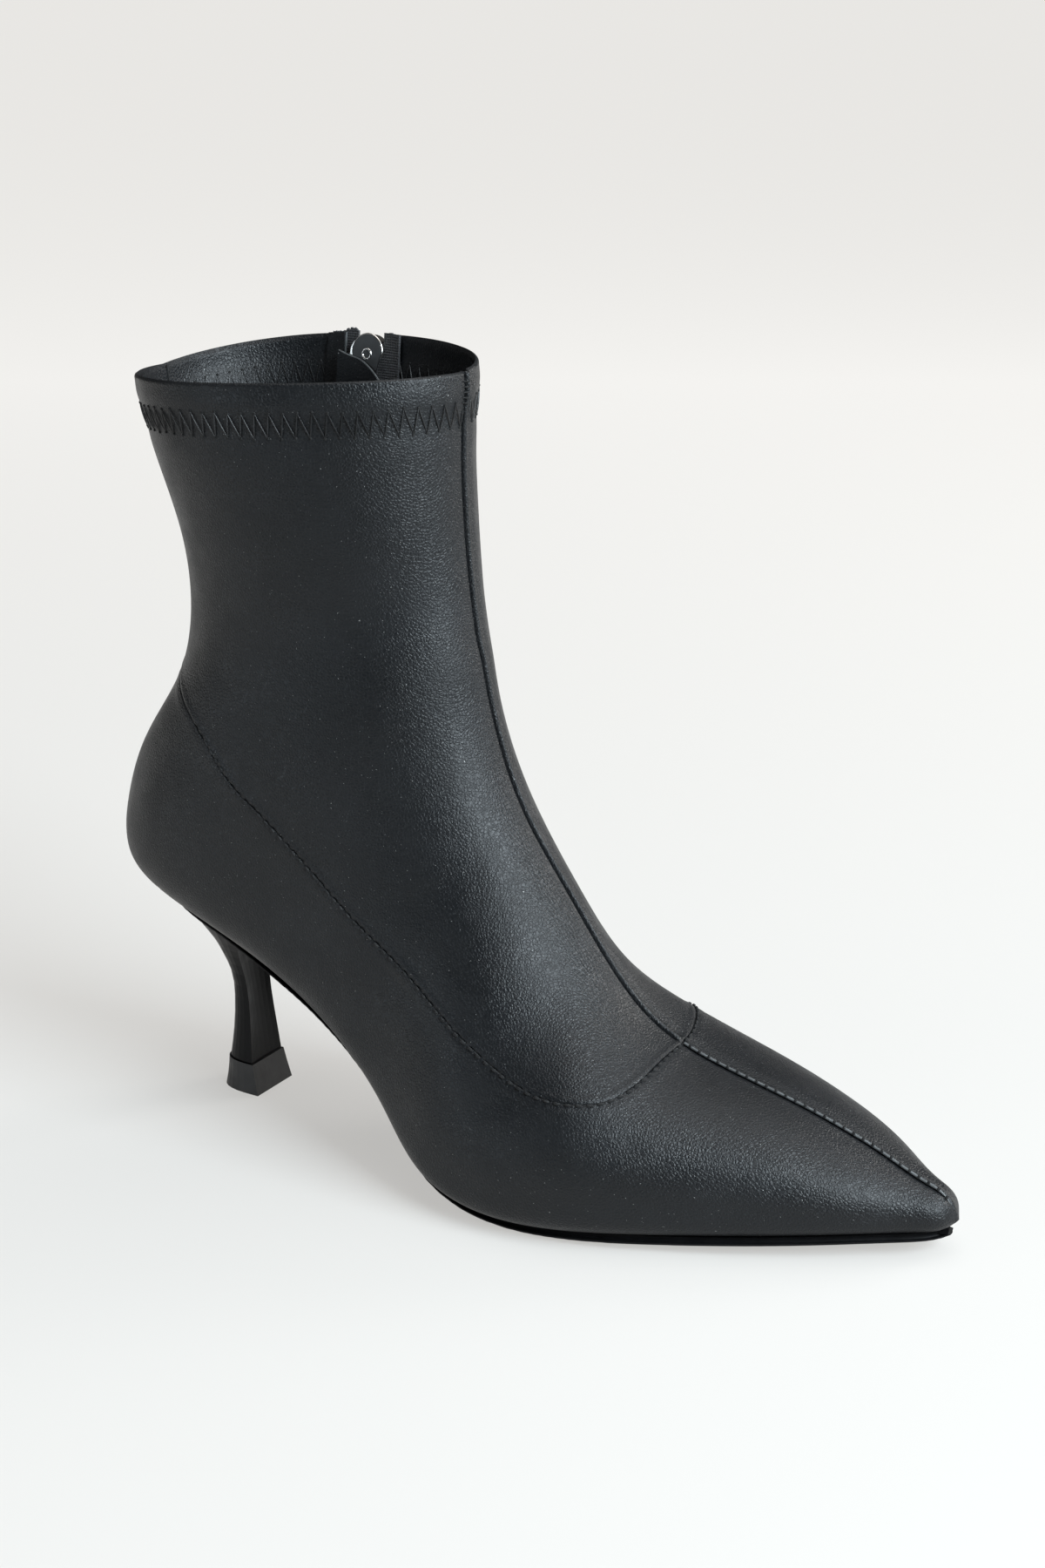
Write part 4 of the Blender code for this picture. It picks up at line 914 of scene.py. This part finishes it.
def lap_stitches(side):
    """Dashes on the foot's side of the lap seam, laid against the folded edge."""
    line = LAP[side][LAP[side][:, 0] < LAP_DASHES_TO_SHARE]
    shares, turns = line[:, 0], side * line[:, 1]
    reach = along_line(shares, turns)[3][-1]
    first = np.arange(DASH_PITCH / 2, reach - DASH, DASH_PITCH)
    ends = []
    for place in (first, first + DASH):
        points, normals, across, _ = along_line(shares, turns, place)
        ends.append(points + across * LAP_DASH_OUT + normals * LAP_DASH_LIFT)
    return stitches(ends[0], ends[1], normals, LAP_DASH, 0.12)


def seam_thread():
    """The lap seam's dashes on both sides, and a few stitches across the top of the front seam."""
    parts = [lap_stitches(OUTER), lap_stitches(INNER)]
    crest = np.zeros(len(FRONT_STITCH_DEPTHS))
    shares = column_shares(crest, FRONT_STITCH_DEPTHS)
    starts, normals = on_shaft(shares, crest - 0.012, 0.05)
    ends, _ = on_shaft(shares - 0.001, crest + 0.004, 0.12)
    parts.append(stitches(starts, ends, normals, 0.20, 0.08))
    return joined(parts)


def back_seam():
    """The back seam seen inside the hem: a thin dark line down the middle of the back."""
    depths = np.linspace(0.6, HEM_DEPTH - 0.5, 40)
    turns = np.full(len(depths), 0.998)
    shares = column_shares(turns, depths)
    points, normals = on_shaft(shares, turns, -HEM_THICKNESS)
    return tube(points, BACK_SEAM, normals)


def toe_seam():
    """The toe seam's folded edge as a narrow cord along its line, and the stitches that cross it."""
    shares = np.linspace(0.010, VAMP_SHARE - 0.0015, 500)
    length = np.maximum(section_length(shares, OUTER), 1.0)
    turns = -toe_shift(shares) / length
    points, normals, across, places = along_line(shares, turns)
    outward = across * -np.sign(across[:, 1:2])
    fade = smoothstep(places, 0.0, 6.0)
    cord = points + outward * TOE_CORD_SIDE + normals * (TOE_CORD_LIFT * fade - 0.2)[:, None]
    path = tube(cord, TOE_CORD * (0.3 + 0.7 * fade), normals, sides=10)
    at = np.arange(2.0, places[-1], TOE_STITCH_PITCH)
    middle, up, side = (read_along(at, places, line) for line in (cord, normals, outward))
    starts = middle + side * TOE_STITCH_OUT + up * 0.10
    slant = unit(np.gradient(middle, axis=0)) * TOE_STITCH_SLANT
    ends = middle - side * TOE_STITCH_IN + up * 0.30 + slant
    return path, stitches(starts, ends, up, TOE_STITCH, TOE_STITCH_BOW)


# Outsole
SOLE = 2.2
SEAT_SOLE = 1.2
SEAT_FULL_X = 35.0
SEAT_FROM_X = 60.0
SOLE_END_X = 6.02
SOLE_TIP_FROM_X = 240.0
SOLE_TIP_X = 247.6
SOLE_TIP_KEEP = 0.955
SOLE_TIP_SHARE = 0.0105
WAIST_NARROWS = 1.3
SOLE_ROUND_X = 32.0
SOLE_GAP = 0.22
SEAT_GAP = 0.55
SOLE_EDGE_ROUND = 0.55
SOLE_EDGE_OUT = 0.6
WAIST_X = 105.0
FEATHER_RISE = 1.5
FEATHER_SHARE = 0.05


def sole_reach(side):
    """For each row of the table: how far from the middle line the sole's edge lies, where the section
    has turned up by the feather's rise, and rounded off at the heel's end."""
    table, length = LAST[side]
    upward = unit(table[:, 0] - table[:, -1])
    height = ((table - table[:, -1:]) * upward[:, None]).sum(axis=2)
    rise = np.minimum(FEATHER_RISE, FEATHER_SHARE * height[:, 0])[:, None]
    first = TABLE_COLUMNS - 1 - np.argmax(height[:, ::-1] >= rise, axis=1)
    reach = (1 - first / (TABLE_COLUMNS - 1)) * length
    back = table[:, -1, 0]
    turned = np.clip((SOLE_ROUND_X - back) / (SOLE_ROUND_X - SOLE_END_X), 0.0, 1.0)
    tip = np.clip((back - SOLE_TIP_FROM_X) / (SOLE_TIP_X - SOLE_TIP_FROM_X), 0.0, SOLE_TIP_KEEP)
    waist = WAIST_NARROWS * bump(back, WAIST_X, 55.0)
    return (reach - waist) * np.sqrt(1 - np.maximum(turned, tip) ** 2)


def outsole():
    """The sole: the last's underside moved out, its edge carried a little past the leather and rounded,
    flat where it meets the floor."""
    last_row = TABLE_SHARES[np.argmax(LAST[OUTER][0][:, -1, 0] < SOLE_END_X)]
    steps = np.linspace(0.0, 1.0, 190)
    shares = SOLE_TIP_SHARE + (last_row - 2e-4 - SOLE_TIP_SHARE) * (1 - (1 - steps) ** 1.4)
    across = np.sin(np.linspace(-0.5, 0.5, 61) * math.pi)
    turns = np.empty((len(shares), len(across)))
    width = np.empty(turns.shape)
    for side in (OUTER, INNER):
        mine = across <= 0 if side == OUTER else across > 0
        reach = np.interp(shares, TABLE_SHARES, sole_reach(side))[:, None] * np.abs(across[mine])
        turns[:, mine] = side * (1 - reach / section_length(shares, side)[:, None])
        width[:, mine] = reach / np.maximum(np.abs(across[mine]), 1e-6)
    rows = np.broadcast_to(shares[:, None], turns.shape)
    base = last_point(rows, turns)
    normal = last_normal(rows, turns)
    seat = 1 - smoothstep(base[:, 30:31, 0], SEAT_FULL_X, SEAT_FROM_X)
    thick = SOLE + (SEAT_SOLE - SOLE) * seat
    gap = SOLE_GAP + (SEAT_GAP - SOLE_GAP) * seat
    corner = 1 - np.clip(width * (1 - np.abs(across)) / SOLE_EDGE_ROUND, 0.0, 1.0)
    rounded = SOLE_EDGE_ROUND * (1 - np.sqrt(1 - corner ** 2))
    bottom = base + normal * (gap + thick - rounded)[..., None]
    bottom[..., 2] = np.maximum(bottom[..., 2], rounded)
    edge_out = np.minimum(SOLE_EDGE_OUT, width / 14.0) * smoothstep(base[..., 0], 150.0, 190.0)
    bottom[..., 1] += np.sign(across) * smoothstep(np.abs(across), 0.9, 1.0) * edge_out
    return sheet(bottom, np.maximum(thick - rounded * 1.4, 0.3).reshape(-1))


# The zip, on the inner side
ABOVE_RIM_Z = 400.0
RIGHT = np.array([1.0, 0.0, 0.0])


def wall_line(x, heights):
    """Points and normals of the inner wall on one upright line, at the given heights: every section is
    read where it crosses x, and the crossings are read by height."""
    leg = slice(450, None, 2)
    turns = np.array([np.interp(-x, -line[:, 0], TABLE_TURNS) for line in LAST[INNER][0][leg]])
    level = last_point(TABLE_SHARES[leg], turns)[:, 2]
    shares = np.interp(heights, level, TABLE_SHARES[leg])
    turns = np.interp(shares, TABLE_SHARES[leg], turns)
    points = last_point(shares, turns)
    points[:, 0] = x
    return points, last_normal(shares, turns)


def rim_height(x):
    """Height of the collar's edge on the inner side."""
    return wall_line(x, np.array([ABOVE_RIM_Z]))[0][0, 2]


TAPE_DEPTH = 2.3
TAPE = 0.7
TAPE_INNER_EDGE = 2.0
TAPE_HALF = 12.0
TAPE_FOOT_Z = 98.0
TAPE_TOP_OVER_RIM = 1.5
TAPE_SPREAD = 2.4
TAPE_SEAM_SIDE = 6.2
TAPE_SEAM_TOP_Z = 203.0
SLIDER_Z = 211.0
SLIDER_INSIDE = 4.8
SLIDER_SIDE = 1.4


def tape(side):
    """One woven tape: a strip behind the slot, thickened. Above the slider's head it spreads away from
    the middle, and the back one's top edge is ragged."""
    offsets = np.linspace(TAPE_INNER_EDGE, TAPE_HALF, 27)
    draw = np.random.default_rng(5 if side < 0 else 6)
    columns = []
    for offset in offsets:
        rim = rim_height(ZIP_X + side * offset)
        over, rag = (TAPE_TOP_OVER_RIM, 1.1) if side < 0 else (0.5, 0.3)
        top = rim + (over - rag * draw.random()) * (1.0 if offset < 8.0 else 0.35)
        heights = np.linspace(TAPE_FOOT_Z, min(top, rim), 170)
        points, normals = wall_line(ZIP_X + side * offset, heights)
        points = points - normals * TAPE_DEPTH
        points[-1, 2] += max(0.0, top - rim)
        held = 1 - (offset - TAPE_INNER_EDGE) / (TAPE_HALF - TAPE_INNER_EDGE)
        spread_out = side * (TAPE_SPREAD + side * SLIDER_SIDE) * held
        points[:, 0] += spread_out * smoothstep(heights, SLIDER_Z - 3.0, SLIDER_Z + 2.5)
        columns.append(points)
    return sheet(np.stack(columns if side > 0 else columns[::-1], axis=1), TAPE)


CHAIN_FOOT_Z = 108.6
CHAIN_TOP_Z = 207.5
TOOTH_PITCH = 1.05
TOOTH_THICK = 0.42
TOOTH_DEPTH = 1.35
CHAIN_CORD = 0.28
CHAIN_CORD_SIDE = 2.3


def chain():
    """The closed coil: bars from both tapes, laid in turn, and the two cords they are sewn along."""
    heights = np.arange(CHAIN_FOOT_Z, CHAIN_TOP_Z, TOOTH_PITCH / 2)
    middle, normals = wall_line(ZIP_X, heights)
    middle = middle - normals * TOOTH_DEPTH
    way = np.where(np.arange(len(heights)) % 2 == 0, 1.0, -1.0)[:, None] * RIGHT
    parts = [stitches(middle - way * 0.55, middle + way * 2.7, normals, TOOTH_THICK, 0.30, rings=9, sides=8)]
    for offset in (-CHAIN_CORD_SIDE, CHAIN_CORD_SIDE):
        points, out = wall_line(ZIP_X + offset, np.linspace(CHAIN_FOOT_Z, CHAIN_TOP_Z, 160))
        parts.append(tube(points - out * 1.15, CHAIN_CORD, out))
    return joined(parts)


def tape_stitches():
    """Rows of stitches that hold the tapes to the shaft, down both sides of the slot, outside and in."""
    parts = []
    for offset in (-TAPE_SEAM_SIDE, TAPE_SEAM_SIDE):
        heights = np.arange(ZIP_BOTTOM_Z, TAPE_SEAM_TOP_Z, DASH_PITCH)
        low, normals = wall_line(ZIP_X + offset, heights)
        high, _ = wall_line(ZIP_X + offset, heights + DASH)
        for face, lift in ((1, 0.08), (-1, TAPE_DEPTH + TAPE + 0.08)):
            out = face * normals
            parts.append(stitches(low + out * lift, high + out * lift, out, THREAD, 0.10))
    return joined(parts)


SLIDER_HEAD = 4.7
SLIDER_HEAD_UP = 1.1
SLIDER_FOOT_HALF = 2.6
SLIDER_FOOT_DOWN = 7.6
SLIDER_RIM = 0.36
SLIDER_ARCH = (-16, 196)
SLIDER_WALL = 3.6
RIVET = 1.35
RIVET_DOWN = 0.7


def slider_frame():
    """The middle of the slider's inside face, with the directions up and into the boot."""
    middle, normal = wall_line(ZIP_X, np.array([SLIDER_Z]))
    into = -unit(np.array([0.0, normal[0, 1], normal[0, 2]]))
    up = np.cross(into, RIGHT)
    return middle[0] + into * SLIDER_INSIDE + RIGHT * SLIDER_SIDE + up * SLIDER_HEAD_UP, up, into


def circle(middle, radius, up, degrees):
    """Points of a circle that stands in the slider's plane, at the given angles."""
    angle = np.radians(degrees)[:, None]
    return middle + radius * np.cos(angle) * RIGHT + radius * np.sin(angle) * up


def slider_trim():
    """Round the slider's head a bright rim with the wall behind it, and the ring of its rivet."""
    middle, up, into = slider_frame()
    arch = circle(middle, SLIDER_HEAD, up, np.linspace(*SLIDER_ARCH, 60))
    ring = circle(middle + into * 0.35 - RIVET_DOWN * up, RIVET, up, np.linspace(0, 360, 36, endpoint=False))
    wall = circle(middle, SLIDER_HEAD, up, np.linspace(22, 158, 40))
    wall = wall[None] - into * np.linspace(0.0, SLIDER_WALL, 7)[:, None, None]
    rims = [tube(arch, SLIDER_RIM, into, sides=12), tube(ring, SLIDER_RIM, into, sides=12, closed=True)]
    return joined(rims + [sheet(wall, 0.4)])


def slider_shade_sheet():
    """A near-black sheet over the nickel slider's inside face, a painted dark reflection of the boot's
    inside: rings from its middle out to the round head and the narrow foot.
    """
    middle, up, into = slider_frame()
    head = circle(middle, SLIDER_HEAD, up, np.linspace(*SLIDER_ARCH, 48))
    foot = middle + np.linspace(-1, 1, 9)[:, None] * SLIDER_FOOT_HALF * RIGHT - SLIDER_FOOT_DOWN * up
    outline = np.concatenate([head, foot, head[:1]])
    centre = middle - 1.2 * up
    points = centre + into * 0.12 + (outline[None] - centre) * np.linspace(0.0, 1.0, 8)[:, None, None]
    return thickened(points.reshape(-1, 3), 0.35, grid_quads(*points.shape[:2]))


# The flap's upper edge: x and height
GUARD_EDGE = np.array(((46.0, 211.6), (50.0, 210.5), (54.0, 209.7), (57.0, 208.2), (60.0, 206.0),
                       (63.0, 203.0)))
GUARD_FOOT_Z = 192.0
GUARD_DEPTH = 5.6
GUARD = 0.6
FACING_X = np.linspace(40.5, 47.0, 14)
FACING_DEPTHS = np.linspace(2.0, 3.6, 14)


def facing(x, tops, depths):
    """A sheet of leather inside the shaft: upright lines at each x from the guard's foot up to its top,
    laid at its depth behind the wall."""
    columns = []
    for place, top, depth in zip(x, tops, depths):
        points, normals = wall_line(place, np.linspace(GUARD_FOOT_Z, top, 60))
        columns.append(points - normals * depth)
    grid = np.stack(columns, axis=1)
    return grid, sheet(grid, GUARD)


def zip_guard():
    """The leather flap that lies over the teeth below the slider, and the facing that covers the back
    tape's edge, each with a thin piped edge."""
    flap_x = np.linspace(GUARD_EDGE[0, 0], GUARD_EDGE[-1, 0], 30)
    tops = natural_spline(GUARD_EDGE[:, 0], GUARD_EDGE[:, 1:], flap_x)[:, 0]
    flap, flap_sheet = facing(flap_x, tops, np.full(30, GUARD_DEPTH))
    rims = np.array([rim_height(place) for place in FACING_X])
    side, side_sheet = facing(FACING_X, rims + 0.2, FACING_DEPTHS)
    inward = np.array([0.0, -1.0, 0.0])
    pipes = [tube(flap[-1], 0.26, inward), tube(side[10:, -1], 0.30, inward)]
    return joined([flap_sheet, side_sheet]), joined(pipes)


thread, pinhole_shade_blobs = zigzag_pieces()
toe_cord, toe_stitches = toe_seam()
guard, piping = zip_guard()
UPPER = ("upper",)
PIECES = (
    # name, points and faces, look, the solids it stands for, slot
    ("foot_panel", foot_panel(), LEATHER_LOOK, UPPER, "upper_leather"),
    ("shaft_panel", shaft_panel(), LEATHER_LOOK, UPPER, "upper_leather"),
    ("lining", lining_panel(), LINING_LOOK, UPPER, "lining"),
    ("collar_zigzag", thread, THREAD_LOOK, UPPER, "upper_leather"),
    ("collar_pinhole_shade_blobs", pinhole_shade_blobs, PINHOLE_SHADE_LOOK, UPPER, "upper_leather"),
    ("back_seam_inside", back_seam(), SEAM_THREAD_LOOK, UPPER, "upper_leather"),
    ("seam_stitches", joined([seam_thread(), toe_stitches]), SEAM_THREAD_LOOK, UPPER, "upper_leather"),
    # The toe seam cord and the guard's piping wear the painted highlight look
    ("toe_seam_cord", toe_cord, EDGE_HIGHLIGHT_LOOK, UPPER, "upper_leather"),
    ("outsole_shaped", outsole(), SOLE_LOOK, ("outsole",), "outsole"),
    ("tape_front_woven", tape(1), TAPE_LOOK, ("zip_tape_front",), "zip_tape"),
    ("tape_back_woven", tape(-1), TAPE_LOOK, ("zip_tape_back",), "zip_tape"),
    ("coil_teeth", chain(), TEETH_LOOK, ("zip_chain",), "zip_teeth"),
    ("tape_stitches", tape_stitches(), THREAD_LOOK, ("zip_tape_front", "zip_tape_back"), "zip_tape"),
    ("slider_rim_and_rivet", slider_trim(), NICKEL_LOOK, (), "nickel"),
    ("slider_inside_shade_sheet", slider_shade_sheet(), SLIDER_SHADE_LOOK, (), "nickel"),
    ("zip_guard", guard, LEATHER_LOOK, UPPER, "upper_leather"),
    ("zip_guard_piping", piping, EDGE_HIGHLIGHT_LOOK, UPPER, "upper_leather"),
)
for name, (points, faces), look, solids, slot in PIECES:
    piece(name, points, faces, look, solids)
for node, look in (("insole", INSOLE_LOOK), ("heel", HEEL_LOOK), ("heel_tip", TIP_LOOK),
                   ("zip_bottom_stop", NICKEL_LOOK), ("zip_slider", NICKEL_LOOK), ("pull_tab", NICKEL_LOOK)):
    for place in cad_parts[node].material_slots:
        place.material = look


# Camera, floor and lights
camera_data = bpy.data.cameras.new("camera")
camera_data.lens = CAMERA_LENS
camera_data.sensor_width = 36.0
camera_data.sensor_fit = "AUTO"
camera_data.clip_start = 0.05
camera = bpy.data.objects.new("camera", camera_data)
camera.location = CAMERA_PLACE
camera.rotation_euler = (math.radians(90.0 - CAMERA_PITCH), 0.0, math.radians(CAMERA_TURN))
bpy.context.scene.collection.objects.link(camera)
bpy.context.scene.camera = camera

FLOOR_HALF = 60.0
FLOOR_GLOW = 0.485
FLOOR_FAR_GLOW = 0.23
floor_mesh = bpy.data.meshes.new("floor")
floor_corners = [(x * FLOOR_HALF, y * FLOOR_HALF, 0.0) for x, y in ((-1, -1), (1, -1), (1, 1), (-1, 1))]
floor_mesh.from_pydata(floor_corners, [], [(0, 1, 2, 3)])
floor = bpy.data.objects.new("floor", floor_mesh)
floor_look, floor_tree, floor_shader = shader("pale_floor", (0.26, 0.257, 0.25), 0.9)
floor_shader.inputs["Specular IOR Level"].default_value = 0.0
floor_shader.inputs["Emission Color"].default_value = (1.0, 0.985, 0.955, 1.0)
# Painted light: the floor glows though it is no lamp. Its glow grows with the distance away from the camera,
# past the shoe, and is none near the camera
away = floor_tree.nodes.new("ShaderNodeVectorMath")
away.operation = "DOT_PRODUCT"
away_turn = math.radians(CAMERA_TURN)
away.inputs[1].default_value = (-math.sin(away_turn), math.cos(away_turn), 0.0)
floor_tree.links.new(floor_tree.nodes.new("ShaderNodeTexCoord").outputs["Object"], away.inputs[0])
near_glow = spread(floor_tree, away.outputs["Value"], 0.0, FLOOR_GLOW, -0.60, -0.26)
far_glow = spread(floor_tree, away.outputs["Value"], 0.0, FLOOR_FAR_GLOW, 0.10, 1.40)
glow = floor_tree.nodes.new("ShaderNodeMath")
floor_tree.links.new(near_glow, glow.inputs[0])
floor_tree.links.new(far_glow, glow.inputs[1])
floor_tree.links.new(glow.outputs["Value"], floor_shader.inputs["Emission Strength"])
floor_mesh.materials.append(floor_look)
bpy.context.scene.collection.objects.link(floor)

world = bpy.data.worlds.new("studio")
world.use_nodes = True
background = world.node_tree.nodes["Background"]
background.inputs["Color"].default_value = (0.95, 0.94, 0.92, 1.0)
background.inputs["Strength"].default_value = 0.06
bpy.context.scene.world = world
bpy.context.scene.view_settings.view_transform = "Standard"

# Soft rectangular lamps: name, place, the point each faces, width, height, power, colour
LAMPS = (
    ("key_left", (-1.15, -0.75, 0.95), (0.0, 0.0, 0.10), 0.7, 0.9, 1.2, (0.94, 0.97, 1.0)),
    ("low_left", (-0.72, -1.02, 0.17), (0.0, 0.0, 0.08), 0.42, 0.30, 2.2, (0.78, 0.90, 1.0)),
    ("top", (0.2, 0.2, 1.9), (0.0, 0.0, 0.1), 1.3, 1.3, 9.0, (1.0, 1.0, 1.0)),
    ("front_right", (1.15, -0.25, 0.75), (0.05, 0.0, 0.09), 0.8, 0.9, 42.0, (0.82, 0.93, 1.0)),
    ("back_right", (0.75, 1.15, 0.60), (0.05, 0.0, 0.08), 0.6, 0.6, 9.0, (1.0, 0.98, 0.95)),
)
for name, place, target, width, height, power, colour in LAMPS:
    lamp_data = bpy.data.lights.new(name, "AREA")
    lamp_data.shape = "RECTANGLE"
    lamp_data.size = width
    lamp_data.size_y = height
    lamp_data.energy = power
    lamp_data.color = colour
    lamp = bpy.data.objects.new(name, lamp_data)
    lamp.location = place
    lamp.rotation_euler = (Vector(target) - lamp.location).to_track_quat("-Z", "Y").to_euler()
    bpy.context.scene.collection.objects.link(lamp)
sun_data = bpy.data.lights.new("wide_sky", "SUN")
sun_data.energy = 1.0
sun_data.angle = math.radians(70.0)
sun = bpy.data.objects.new("wide_sky", sun_data)
sun.rotation_euler = (math.radians(-12.0), math.radians(8.0), 0.0)
bpy.context.scene.collection.objects.link(sun)
